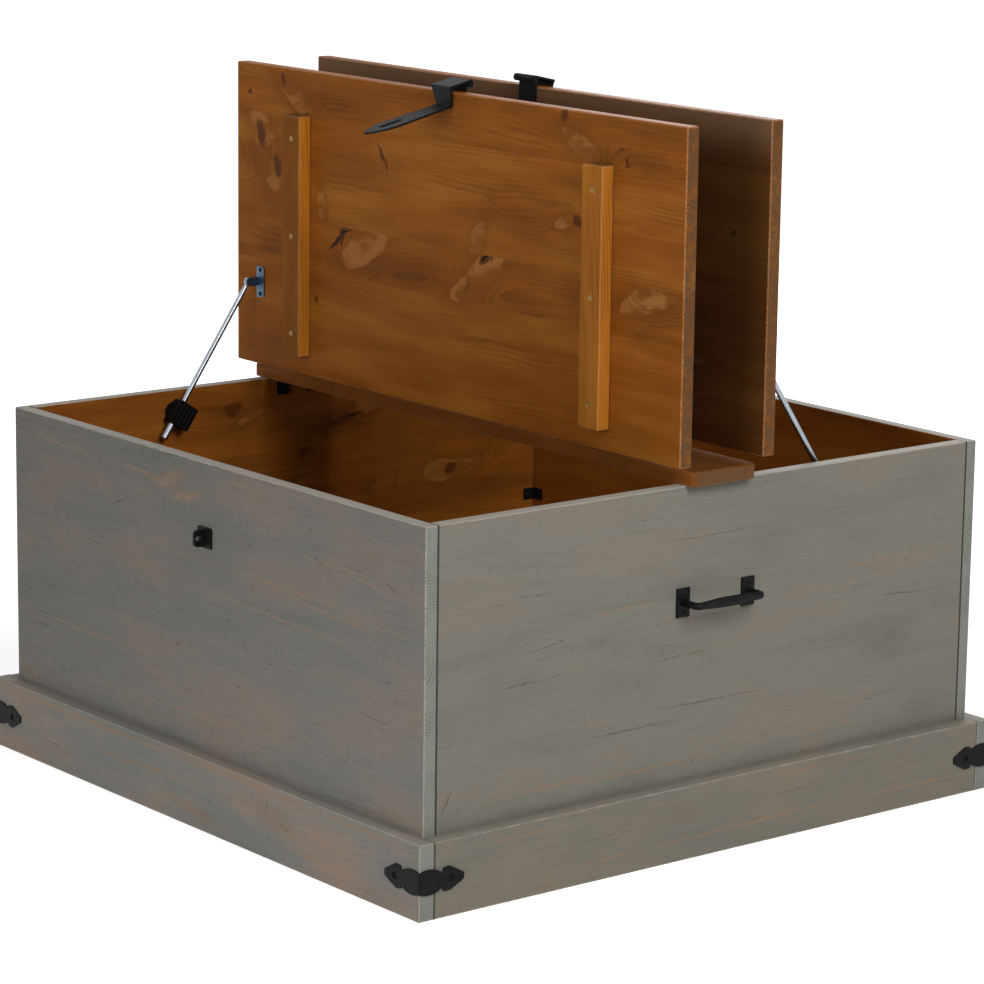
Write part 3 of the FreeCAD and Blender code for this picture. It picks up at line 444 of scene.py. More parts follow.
def painted_board(node_name, label, along, across, strips, marks, inner_marks, seed, inward=0,
                  butted=False, wear=0.8, tones=("#707069", "#76736D", "#7E756B"),
                  pitted=0.62, brushed=0.42, dust_and_top_light=0.7, ledge=0, painted_light_tilt=(0, 0)):
    """Rough-sawn pine under thin grey paint: clouded cool to warm, ticked by the saw across the
    grain, and rubbed back to orange-brown wood in thin streaks along it.

    marks holds the rubbed streaks, pits and knots, and inner_marks those of the stain. inward is
    the sign of the through axis on the stained inner face, or 0 if all is painted. butted says
    that the board's ends meet other boards; otherwise it runs past them and shows its ends. wear
    says how far the arrises are rubbed, pitted how dark pits are, brushed how much the brush's
    strokes show and dust how much painted light pales the upward faces, such as the top edge.
    ledge is the sign of the through axis towards the panel behind a plinth board, whose crease
    gets painted shade and grime, or 0 on a panel. tilt is painted light: how much paler the paint
    gets from the board's middle to its ends, along and across.
    """
    made, tree = finish(label, tones[1])
    board = board_place(tree, node_name, along, across)
    at, numbers, half = board
    streaks, pits, knots = marks
    cool, plain, warm = [linear(code) for code in tones]
    ragged = ragged_place(tree, at, 2.2, 17.0, seed + 21)
    knot = marks_reach(tree, ragged, knots)
    strip = strip_place(tree, numbers, half, strips, seed)
    late = pine_rings(tree, strip, numbers[2], knot, seed)

    # Clouded paint under strokes of the brush, ticks of the saw and the wood's lines
    cloud = mottle(tree, at, (230, 75, 75), 4.0, 0.6, seed + 1)
    brush = mottle(tree, at, (60, 1.7, 1.7), 3.0, 0.65, seed + 2)
    patch = mottle(tree, at, (120, 34, 34), 2.0, 0.5, seed + 4)
    saw = mottle(tree, at, (1.5, 15, 15), 2.0, 0.6, seed + 6)
    colour = add(tree, "ValToRGB", (cloud,), stops=[(0.36, cool), (0.50, plain), (0.66, warm)])
    light = add(tree, "Math", (brush, brushed, 1 - brushed / 2), **MUL_ADD)
    sawn = add(tree, "MapRange", (patch, 0.44, 0.62, 0.14 * brushed, 1.1 * brushed), **SMOOTH)
    level = add(tree, "Math", (saw, -0.5), operation="ADD")
    light = add(tree, "Math", (level, sawn, light), **MUL_ADD)
    light = add(tree, "Math", (late, -0.05, light), **MUL_ADD)
    # Painted light: the paint paler towards one end and one edge of the board, where more light
    # falls
    for change, number, reach in zip(painted_light_tilt, numbers, half):
        if change:
            light = add(tree, "Math", (number, change / reach, light), **MUL_ADD)
    colour = add(tree, "VectorMath", {0: colour, "Scale": light}, operation="SCALE")

    # Wood rubbed bare in hair lines where the patch is worn, and in the streaks
    rub = mottle(tree, strip["at"], (120, 1.5, 1.5), 3.0, 0.62, seed + 12)
    where = mottle(tree, at, (190, 24, 24), 2.0, 0.5, seed + 14)
    where = add(tree, "MapRange", (where, 0.44, 0.66), **SMOOTH)
    level = add(tree, "Math", (where, 0.10, rub), **MUL_ADD)
    bare = add(tree, "MapRange", (level, 0.67, 0.77, 0.0, 0.46), **SMOOTH)
    broken = mottle(tree, at, (8, 3, 3), 2.0, 0.6, seed + 17)
    broken = add(tree, "MapRange", (broken, 0.36, 0.54), **SMOOTH)
    if streaks:
        streak = marks_reach(tree, ragged, streaks)
        streak = add(tree, "MapRange", (streak, 0.3, 2.2, 0.7, 0.0), **SMOOTH)
        streak = add(tree, "Math", (streak, broken), **MUL)
        bare = add(tree, "Math", (bare, streak), operation="MAXIMUM")
    colour = add(tree, "Mix", {0: bare, 6: colour, 7: "#94785F"}, **RGBA)

    # Dark pits, pale flecks and the scars of knots
    dash = mottle(tree, at, (8, 0.9, 0.9), 2.0, 0.6, seed + 16)
    nick = mottle(tree, at, (110, 8, 8), 2.0, 0.5, seed + 18)
    nick = add(tree, "Math", (nick, 0.4, dash), **MUL_ADD)
    pit = add(tree, "MapRange", (nick, 0.84, 0.95, 0.0, pitted * 0.8), **SMOOTH)
    if pits:
        hole = marks_reach(tree, ragged, pits)
        hole = add(tree, "MapRange", (hole, 0.5, 1.3, pitted, 0.0), **SMOOTH)
        hole = add(tree, "Math", (hole, broken), **MUL)
        pit = add(tree, "Math", (pit, hole), operation="MAXIMUM")
    colour = add(tree, "Mix", {0: pit, 6: colour, 7: "#3F3A33"}, **RGBA)
    fleck = add(tree, "MapRange", (dash, 0.36, 0.26, 0.0, brushed), **SMOOTH)
    colour = add(tree, "Mix", {0: fleck, 6: colour, 7: "#A8A095"}, **RGBA)
    if knots:
        scar = add(tree, "MapRange", (knot, 0.5, 1.7, 0.20, 0.0), **SMOOTH)
        colour = add(tree, "Mix", {0: scar, 6: colour, 7: "#6A5D50"}, **RGBA)

    # Cut ends with open grain, rubbed arrises and painted light on the upward faces
    facing = add(tree, "SeparateXYZ", (add(tree, "TexCoord").outputs["Normal"],))
    grain = add(tree, "MapRange", (patch, 0.42, 0.62, 0.06, 0.62), **SMOOTH)
    lines = add(tree, "Math", (late, grain), **MUL)
    ends = add(tree, "Mix", {0: lines, 6: "#868A81", 7: "#55554C"}, **RGBA)
    end = end_share(tree, facing, along, 0.85)
    colour = add(tree, "Mix", {0: end, 6: colour, 7: ends}, **RGBA)
    colour = rub_arrises(tree, colour, board, 16, -1.1, wear, "#ADA499", seed + 11)
    # Painted light: upward faces, the top edge among them, paler as if lit more from above
    dust_and_top_light_share = add(tree, "MapRange", (facing.outputs["Z"], 0.6, 0.9, 0.0, dust_and_top_light))
    colour = add(tree, "Mix", {0: dust_and_top_light_share, 6: colour, 7: "#B2ADA2"}, **RGBA)

    # Sheen and relief, the stained inner face, and painted shade and grime over it all
    rough = add(tree, "Math", (brush, 0.2, 0.56), **MUL_ADD)
    height = add(tree, "Math", (saw, 0.7, brush), **MUL_ADD)
    height = add(tree, "Math", (pit, -2.5, height), **MUL_ADD)
    height = add(tree, "Math", (bare, -1.0, height), **MUL_ADD)
    if inward:
        inner = near_face(tree, numbers[2], half[2], inward, 0.5)
        wood, _, fibre = stain(tree, board, strips, inner_marks, seed + 0.5, INSIDE_STAIN)
        colour = add(tree, "Mix", {0: inner, 6: colour, 7: wood}, **RGBA)
        rough = add(tree, "Mix", {0: inner, 2: rough, 3: 0.5})
        height = add(tree, "Mix", {0: inner, 2: height, 3: fibre})
    # Painted shade in the end joints, and painted shade with grime along the plinth
    shade_and_grime_share = painted_shade_and_grime(tree, numbers, half, facing, butted, inward, ledge)
    colour = add(tree, "Mix", {0: shade_and_grime_share, 6: colour, 7: "#2B2823"}, **RGBA)
    surface(tree, colour, rough, height, 0.45, 0.2, 0.12)
    give(node_name, made)


# Pale, middle and deep stain, and the stain of the flames
INSIDE_STAIN = ("#985F1E", "#864E18", "#623710", "#8F5C28")
LID_STAIN = ("#A06526", "#8A4F17", "#6A3A0F", "#9F6835")
RAIL_STAIN = ("#754620", "#623914", "#4D2A0E", "#754825")
# Lit and shaded copies of one stain: painted shade on left battens, painted light on right ones
SHADED_LEFT_BATTEN_STAIN = ("#905A1A", "#7D4912", "#653A0C", "#905A1A")
LIT_RIGHT_BATTEN_STAIN = ("#B07428", "#9E6221", "#844C12", "#B07428")

# Glued strips of a board: each one's share of the width and how pale it is
FOUR_STRIPS = ((0.27, 0.45), (0.24, 0.62), (0.26, 0.38), (0.23, 0.52))
LID_STRIPS = ((0.354, 0.52), (0.161, 0.34), (0.327, 0.62), (0.158, 0.38))
ONE_STRIP = ((1.0, 0.5),)
RAIL_STRIPS = ((0.52, 0.5), (0.48, 0.4))
FLOOR_STRIPS = tuple((1 / 7, 0.35 + 0.1 * (i % 3)) for i in range(7))
NO_MARKS = ([], [], [])

# Flames, knots, cracks and deep swirls of the front lid, and of the other boards
FRONT_LID_SWIRLS = [(-90, -34, 105, 22, 0), (130, -44, 85, 17, 0), (400, -20, 55, 30, 0),
                    (345, 150, 95, 11, 0), (-225, 160, 60, 13, 0), (-385, 60, 40, 40, 0),
                    (-350, -30, 60, 20, 0)]
FRONT_LID_MARKS = (
    [(-160, -14, 56, 19, 22), (66, -22, 66, 18, 35), (64, 24, 24, 11, 60),
     (262, 152, 46, 13, -25), (232, 62, 24, 7, 5), (378, -6, 56, 16, 20),
     (-372, 88, 62, 22, -65), (-300, 152, 50, 13, -30), (-252, 30, 8, 22, 10)],
    [(-385, 105, 17, 8, 100), (-347, 66, 13, 7, -60), (222, 187, 8, 8, 0), (250, 64, 9, 8, 0),
     (-340, 180, 8, 4, -60), (335, 142, 3, 3, 0), (326, 154, 3, 2, 0), (-410, 157, 5, 4, 0),
     (-212, -7, 24, 4, 35), (79, 1, 13, 4, 30), (-124, 101, 19, 2.2, -63), (-264, -92, 4, 6, 0)],
    [(-221, -13, 18, 1.5, 38), (-197, 1, 12, 1.2, 15), (-206, -8, 11, 1.0, 55),
     (78, 2, 10, 1.5, 30), (91, 4, 6, 1.0, 65), (47, -34, 8, 0.9, 80)],
    FRONT_LID_SWIRLS)
REAR_LID_MARKS = (
    [(120, 80, 48, 18, 15), (-230, -50, 55, 16, -25), (310, -115, 34, 15, 10),
     (-40, 135, 38, 12, 20)],
    [(120, 82, 13, 8, 20), (-225, -48, 15, 8, -20), (312, -112, 9, 7, 0), (-42, 138, 7, 6, 0),
     (380, 60, 5, 5, 0)],
    [(120, 82, 12, 1.2, 25), (-222, -46, 11, 1.1, -40)])
RAIL_MARKS = ([(-210, 4, 34, 11, 5), (250, -18, 30, 10, 0)],
              [(-208, 5, 7, 5, 0), (252, -19, 6, 4, 0)], [])
LEFT_INSIDE_MARKS = (
    [(-70, 168, 30, 7, 20), (96, 160, 40, 9, 12), (255, 60, 50, 15, 5)],
    [(74, 147, 20, 8, 12), (-102, 181, 14, 9, 30), (10, 115, 13, 6, 30), (255, 60, 9, 7, 0),
     (-250, 150, 8, 6, 0)],
    [(92, 152, 16, 1.3, 15)],
    [(62, 146, 80, 24, 12), (-5, 96, 66, 20, 40), (-100, 180, 44, 16, 0)])
REAR_INSIDE_MARKS = ([(60, 70, 46, 17, 10), (-240, 120, 40, 14, -12)],
                     [(62, 72, 12, 8, 0), (-238, 121, 10, 7, 0)], [])
FRONT_INSIDE_MARKS = ([(-150, 90, 50, 18, 10), (230, 140, 42, 15, -8)],
                      [(-148, 92, 13, 8, 0), (232, 141, 9, 7, 0)], [])
RIGHT_INSIDE_MARKS = ([(-120, 120, 46, 17, -10), (200, 60, 44, 15, 12)],
                      [(-118, 122, 12, 8, 0), (202, 61, 10, 7, 0)], [])

# Rubbed streaks, pits and knots of the painted faces
FRONT_PAINT_MARKS = (
    [(170, 97, 105, 1.3, -1), (250, 84, 70, 1.2, -3), (-60, 98, 40, 1.0, 0),
     (-118, 181, 42, 2.2, -6), (-72, 186, 22, 7.0, 20), (-40, 170, 26, 5.0, 10),
     (150, 59, 95, 1.1, -2), (-250, -38, 120, 1.0, 0), (250, 142, 60, 0.9, 0),
     (-60, -92, 150, 1.1, 2), (-260, 78, 70, 1.0, 0), (330, 132, 30, 1.4, -8),
     (-320, 188, 60, 0.9, 0), (330, 88, 40, 1.2, 0)],
    [(217, 143, 14, 1.1, -4), (364, 136, 13, 1.2, -30), (-117, 182, 30, 0.8, 0),
     (330, -17, 36, 0.8, 0), (-59, -13, 3, 2.0, 0), (-238, 78, 26, 0.7, 0),
     (-360, -50, 20, 0.8, 0), (-185, 139, 18, 0.9, 20)],
    [(-60, 186, 20, 12, 15), (318, 160, 22, 13, 0)])
RIGHT_PAINT_MARKS = (
    [(-135, 86, 36, 1.5, 2), (224, 88, 14, 1.5, 0), (-240, -105, 70, 1.6, 2),
     (-85, -109, 95, 1.7, 0), (180, -105, 60, 1.2, 0), (-40, 20, 70, 0.9, 2),
     (300, 90, 60, 0.8, 0)],
    [(-10, 155, 75, 0.8, 0), (315, 42, 52, 1.1, -3), (-40, 19, 60, 0.8, 3),
     (0, -42, 80, 0.9, 0), (-130, -58, 60, 0.8, 0), (-270, 20, 70, 0.7, 3),
     (-240, 60, 30, 0.7, 8), (-390, -98, 15, 1.6, 62), (-404, -92, 11, 1.2, 80)],
    [(282, -16, 26, 22, 30), (-180, 50, 18, 9, 0)])
REAR_PAINT_MARKS = (
    [(-140, 96, 95, 1.3, 1), (210, 30, 80, 1.2, -2), (60, -80, 120, 1.1, 1),
     (-300, -20, 60, 1.2, 0), (300, 150, 50, 1.6, 4)],
    [(-90, 50, 40, 1.0, 2), (180, 120, 26, 1.1, -6), (260, -60, 50, 0.8, 0)],
    [(150, 60, 22, 15, 10), (-260, -110, 18, 12, 0)])
LEFT_PAINT_MARKS = (
    [(150, 110, 80, 1.3, -1), (-200, 40, 90, 1.2, 2), (-40, -96, 130, 1.2, 0),
     (280, -30, 50, 1.4, 0)],
    [(90, 150, 60, 0.9, 0), (-260, 90, 30, 1.2, 12), (170, -60, 50, 0.8, -2)],
    [(-180, 120, 20, 13, 0), (240, -120, 22, 14, 20)])
FRONT_PLINTH_MARKS = (
    [(-230, 35, 190, 2.6, 0), (100, 38, 120, 3.0, -1), (10, -24, 50, 4.2, -8),
     (184, 2, 30, 4.6, -14), (250, -22, 60, 2.2, 0), (-100, 6, 80, 1.9, 2),
     (330, 36, 70, 2.2, 0)],
    [(153, 17, 9, 1.4, 75), (185, 3, 16, 1.0, -20), (-300, -12, 40, 0.8, 0)],
    [(165, 10, 34, 13, -10), (26, -27, 20, 9, 0)])
RIGHT_PLINTH_MARKS = (
    [(310, -18, 95, 1.7, 0), (60, -17, 120, 1.6, 1), (-160, -20, 80, 1.2, 0),
     (-300, 30, 60, 1.3, 0), (180, 34, 90, 1.1, 0)],
    [(-180, 6, 50, 0.8, 2), (120, 10, 30, 0.8, 0)], [(-60, 12, 22, 10, 0)])
PLAIN_PLINTH_MARKS = (
    [(-180, 30, 110, 1.7, 1), (120, -18, 130, 1.5, 0), (320, 28, 60, 1.3, 0)],
    [(60, 8, 40, 0.9, 0), (-280, -14, 26, 1.0, 0)], [(-90, -10, 24, 10, 0)])

# Cool, plain and warm paint of the plinth and of the two boards on the right
PLINTH_TONES = ("#787974", "#817D76", "#917F71")
RIGHT_TONES = ("#76746C", "#7C7A71", "#81796D")
RIGHT_PLINTH_TONES = ("#76736A", "#7B766A", "#837868")


def dress_carcase():
    """Panels and plinth. The side boards are butted between the front and the rear ones."""
    for side, along, marks, inner_marks, seed, inward, look in (
            # Painted light on the front panel: paler towards its right end and its foot
            ("front", ALONG_X, FRONT_PAINT_MARKS, FRONT_INSIDE_MARKS, 1.3, 1,
             {"painted_light_tilt": (0.08, -0.11)}),
            ("rear", ALONG_X, REAR_PAINT_MARKS, REAR_INSIDE_MARKS, 5.9, -1, {}),
            ("right", ALONG_Y, RIGHT_PAINT_MARKS, RIGHT_INSIDE_MARKS, 9.2, -1,
             {"tones": RIGHT_TONES, "pitted": 0.55, "brushed": 0.20}),
            ("left", ALONG_Y, LEFT_PAINT_MARKS, LEFT_INSIDE_MARKS, 12.6, 1, {})):
        painted_board(side + "_panel", "grey_painted_pine_" + side, along, ALONG_Z, FOUR_STRIPS,
                      marks, inner_marks, seed, inward, along == ALONG_Y, **look)
    plain = {"tones": PLINTH_TONES}
    for side, along, marks, seed, ledge, look in (
            ("front", ALONG_X, FRONT_PLINTH_MARKS, 20.1, 1, plain),
            ("right", ALONG_Y, RIGHT_PLINTH_MARKS, 23.8, -1,
             {"tones": RIGHT_PLINTH_TONES, "pitted": 0.4, "brushed": 0.30}),
            ("rear", ALONG_X, PLAIN_PLINTH_MARKS, 27.5, -1, plain),
            ("left", ALONG_Y, PLAIN_PLINTH_MARKS, 31.2, 1, plain)):
        painted_board(side + "_plinth", "grey_painted_plinth_" + side, along, ALONG_Z, ONE_STRIP,
                      marks, NO_MARKS, seed, butted=along == ALONG_Y, dust_and_top_light=0.15, ledge=ledge,
                      **look)


def dress_inside():
    """Plain floor boards and cleats, stained like the inner faces."""
    for name, seed in (("floor_boards", 31.0), ("floor_cleats", 33.0)):
        stained_board(name, "stained_pine_" + name, ALONG_X, ALONG_Y, FLOOR_STRIPS, NO_MARKS,
                      seed, INSIDE_STAIN, 0.0)


def dress_lids():
    """The two lids with their battens, and the rail. The right battens are paler by painted light,
    the left ones darker by painted shade.
    """
    for side, seed, marks, outside in (("front", 41.7, FRONT_LID_MARKS, 1),
                                       ("rear", 47.3, REAR_LID_MARKS, -1)):
        stained_board(side + "_lid_board", "brown_stained_pine_" + side + "_lid", ALONG_X,
                      ALONG_Z, LID_STRIPS, marks, seed, LID_STAIN, 0.6, outside, edge_lift=1.3)
        # Painted light on the right battens and painted shade on the left, by their stains
        for number, (end, tones, lift) in enumerate((("left", SHADED_LEFT_BATTEN_STAIN, 1.8),
                                                     ("right", LIT_RIGHT_BATTEN_STAIN, 1.3))):
            stained_board(side + "_" + end + "_batten",
                          "light_stained_batten_" + side + "_" + end, ALONG_Z, ALONG_X,
                          ONE_STRIP, NO_MARKS, seed + 5.1 + 2.3 * number, tones, 0.3,
                          edge_lift=lift)
    stained_board("centre_rail", "brown_stained_pine_rail", ALONG_X, ALONG_Y, RAIL_STRIPS,
                  RAIL_MARKS, 55.5, RAIL_STAIN, 0.4, end_codes=("#674B34", "#5B432D"),
                  edge_lift=1.45)


# ---- Metal and plastic

def black_iron():
    """Sheet iron under matt black powder coat: near-black, soft sheen, faint orange peel."""
    made, tree = finish("black_powder_coated_iron", "#1C1D1E")
    place = add(tree, "TexCoord").outputs["Object"]
    peel = add(tree, "TexNoise", {"Vector": place, "Scale": 1 / (1.6 * MM), "Detail": 2.0})
    dust_and_top_light = add(tree, "TexNoise", {"Vector": place, "Scale": 1 / (14 * MM), "Detail": 3.0,
                                  "Roughness": 0.6})
    dust_and_top_light_share = add(tree, "MapRange", (dust_and_top_light, 0.4, 0.7), **SMOOTH)
    colour = add(tree, "Mix", {0: dust_and_top_light_share, 6: "#0B0C0C", 7: "#141516"}, **RGBA)
    rough = add(tree, "Math", (dust_and_top_light, 0.2, 0.42), **MUL_ADD)
    surface(tree, colour, rough, peel, 0.3, 0.08, 0.1)
    return made


def plated_steel(label, flat_code, dark, light, cell, fine_cell, rough_low):
    """Plated steel: cold bright metal, clouded where the plating is thicker.

    cell and fine_cell are the sizes of the clouds and of the fine relief in millimetres.
    """
    made, tree = finish(label, flat_code)
    place = add(tree, "TexCoord").outputs["Object"]
    cloud = add(tree, "TexNoise", {"Vector": place, "Scale": 1 / (cell * MM), "Detail": 3.0})
    fine = add(tree, "TexNoise", {"Vector": place, "Scale": 1 / (fine_cell * MM), "Detail": 2.0})
    colour = add(tree, "Mix", {0: cloud, 6: dark, 7: light}, **RGBA)
    rough = add(tree, "Math", (cloud, 0.2, rough_low), **MUL_ADD)
    surface(tree, colour, rough, fine, 0.15, 0.03, metallic=1.0)
    return made


def grained(label, flat_code, cell, detail, codes, rough, strength, depth, specular):
    """A finish whose colour, sheen and relief follow one noise, with grains cell mm long."""
    made, tree = finish(label, flat_code)
    place = add(tree, "TexCoord").outputs["Object"]
    grain = add(tree, "TexNoise", {"Vector": place, "Scale": 1 / (cell * MM), "Detail": detail})
    colour = add(tree, "Mix", {0: grain, 6: codes[0], 7: codes[1]}, **RGBA)
    sheen = add(tree, "Math", (grain, *rough), **MUL_ADD)
    surface(tree, colour, sheen, grain, strength, depth, specular)
    return made


def bronzed_hinge_steel():
    """Bronzed hinge steel: close to the stained wood in colour, a little duller and darker."""
    return grained("bronzed_hinge_steel", "#4A2F15", 5, 4.0, ("#6C4117", "#7C4E1F"),
                   (0.25, 0.38), 0.2, 0.06, 0.06)


def clamp_nylon():
    """Moulded glass-filled nylon: black, slightly grainy and satin."""
    return grained("black_moulded_nylon", "#17181A", 0.7, 2.0, ("#070606", "#100E0D"),
                   (0.15, 0.36), 0.25, 0.05, 0.1)


def dress_metal():
    """Finishes of all fittings. Gives back the iron, for their screws."""
    iron, hinge, nylon = black_iron(), bronzed_hinge_steel(), clamp_nylon()
    rod = plated_steel("bright_zinc_plated_rod", "#A9B0B8", "#858E98", "#A5AAAF", 14, 0.8, 0.16)
    plate = plated_steel("blue_zinc_plated_bracket", "#4A5A6C", "#303F50", "#64778C", 7, 0.8,
                         0.3)
    for name in nodes:
        if "hinge" in name:
            give(name, hinge)
        elif name.endswith("stay_rod"):
            give(name, rod)
        elif name.endswith("stay_bracket"):
            give(name, plate)
        elif name.endswith(("stay_clamp", "stay_pivot_plate")):
            give(name, nylon)
        elif name.endswith(("iron", "plates", "bar", "plate", "loop", "leaf", "strap", "pin",
                            "brackets", "braces")):
            give(name, iron)
    return iron


# ---- Small screws

SIDES = 32            # of a head
HEAD_RINGS = 10
CROWN = 2.6           # the higher, the flatter the middle of a pan head
PAN_HEAD = 3.6        # radius
SMALL_HEAD = {"radius": 3.2, "rise": 1.6}
HANDLE_HEAD = {"radius": 3.2, "rise": 1.8}
STAY_HEAD = {"radius": 3.0, "rise": 1.4}
SUNK_HEAD = 3.7       # radius of a countersunk head
HEAD_DEPTH = 2.6
SHANK = 2.0           # radius
SHANK_LENGTH = 30.0
SUNK = 0.6            # below the batten's face
CROSS_REACH = 1.9     # half length of the driving cross
CROSS_HALF = 0.45
CROSS_DEPTH = 1.1
FIRST_TURN = 0.4      # of the cross about the screw, in radians
NEXT_TURN = 1.7


def add_screw(mesh, seat, outward, turn, radius, rise, shank):
    """Draws a cross-recessed screw head on its seat, and the shank behind it if wanted."""
    up = Vector(outward).normalized()
    first = up.orthogonal().normalized()
    first.rotate(Matrix.Rotation(turn, 3, up))
    second = up.cross(first)
    shares = [1 - ring / HEAD_RINGS for ring in range(HEAD_RINGS)]
    rings = [(radius * share, rise * (1 - share ** CROWN)) for share in shares]
    if shank:
        rings = [(SHANK, -shank), (SHANK, -HEAD_DEPTH)] + rings
    last = None
    for ring_radius, height in rings:
        row = []
        for i in range(SIDES):
            angle = 2 * math.pi * i / SIDES
            x, y = ring_radius * math.cos(angle), ring_radius * math.sin(angle)
            level = height
            in_cross = min(abs(x), abs(y)) < CROSS_HALF and max(abs(x), abs(y)) < CROSS_REACH
            if in_cross and height >= 0 and ring_radius < radius:
                level -= CROSS_DEPTH
            row.append(mesh.verts.new(Vector(seat) * MM
                                      + (first * x + second * y + up * level) * MM))
        if last:
            for i in range(SIDES):
                mesh.faces.new((last[i], last[(i + 1) % SIDES], row[(i + 1) % SIDES], row[i]))
        last = row
    floor = rings[-1][1] - CROSS_DEPTH
    centre = mesh.verts.new(Vector(seat) * MM + up * (floor * MM))
    for i in range(SIDES):
        mesh.faces.new((last[i], last[(i + 1) % SIDES], centre))


def screws(name, body, slot, metal, places, radius=PAN_HEAD, rise=0.0, shank=0):
    """One piece of several screws; places holds (seat, outward) pairs in mm."""
    mesh = bmesh.new()
    for number, (seat, outward) in enumerate(places):
        add_screw(mesh, seat, outward, FIRST_TURN + NEXT_TURN * number, radius, rise, shank)
    data = bpy.data.meshes.new(name)
    mesh.to_mesh(data)
    mesh.free()
    for face in data.polygons:
        face.use_smooth = True
    data.materials.append(metal)
    piece = stand(name, data)
    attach(piece, body)
    return piece


def either_way(reach):
    """A distance to both sides of the middle."""
    return (-reach, reach)


def twin(places):
    """The same seats on the other half of the trunk."""
    return [((-x, -y, z), (-u, -v, w)) for (x, y, z), (u, v, w) in places]


def both(first, second, rest, bodies, iron, places, **sizes):
    """A piece of iron screws, and its twin on the other half of the trunk."""
    for side, body, seats in zip((first, second), bodies, (places, twin(places))):
        screws(side + "_" + rest, body, "black_iron", iron, seats, **sizes)


SEAT_DEPTH = 1.3         # of a sunk seat in a corner iron
SEAT_RADIUS = 4.5
SEAT_SLOPE = 0.3         # its floor is narrower by this
CUTTER_PROUD = 1.0       # how far the cutter stands out of the iron
WELD_REACH = 0.005       # joins the CAD faces, so that the cut closes
CRISP_ANGLE = 35         # degrees


def sink_seats(node_name, places):
    """Sinks a round seat for each screw head into a corner iron."""
    mesh = bmesh.new()
    for seat, outward in places:
        up = Vector(outward)
        middle = Vector(seat) + up * ((CUTTER_PROUD - SEAT_DEPTH) / 2)
        turn = up.to_track_quat("Z", "Y").to_matrix().to_4x4()
        bmesh.ops.create_cone(
            mesh, cap_ends=True, segments=SIDES, radius1=(SEAT_RADIUS - SEAT_SLOPE) * MM,
            radius2=SEAT_RADIUS * MM, depth=(CUTTER_PROUD + SEAT_DEPTH) * MM,
            matrix=Matrix.Translation(middle * MM) @ turn)
    data = bpy.data.meshes.new(node_name + "_seats")
    mesh.to_mesh(data)
    mesh.free()
    cutter = stand(node_name + "_seats", data)
    cutter.hide_render = True
    piece = nodes[node_name]
    weld = piece.modifiers.new("weld", "WELD")
    weld.merge_threshold = WELD_REACH * MM
    cut = piece.modifiers.new("screw_seats", "BOOLEAN")
    cut.operation = "DIFFERENCE"
    cut.solver = "EXACT"
    cut.object = cutter
    split = piece.modifiers.new("crisp_edges", "EDGE_SPLIT")
    split.split_angle = math.radians(CRISP_ANGLE)


# Faces of the trunk from its middle, and where fittings and screws sit. A half is half of what
# two of them stand apart.
PLINTH_FACE = 443.0
PANEL_FACE = 422.0
INNER_FACE = 405.0
BODY_TOP = 438.0
SHEET = 2.0                 # thickness of irons, rail brackets, braces and hasp leaves
IRON_HEIGHT = 44.5
IRON_SCREW_INSET = 42.0     # from the plinth's corner
HANDLE_PLATE = 3.5          # thickness
HANDLE_HEIGHT = 302.0
HANDLE_HALF = 50.0
HANDLE_SCREW_HALF = 11.5
BRACKET_HALF = 24.0
BRACKET_SCREW_Z = 424.2     # on the panel
BRACKET_SCREW_X = 377.0     # under the rail
BRACE_HEIGHT = 230.0
BRACE_SCREW_INSET = 11.8    # from the inner corner
HASP_SCREW_INSET = 34.5     # from the lid's free edge
HASP_SCREW_HALF = 8.0
STAY_PLATE = 1.6            # thickness
STAY_X = -384.5
STAY_HEIGHT = 570.6
STAY_SCREW_HALF = 15.5
BATTEN_HALF = 295.0
BATTEN_SCREW_INSET = 29.0   # from the batten's ends


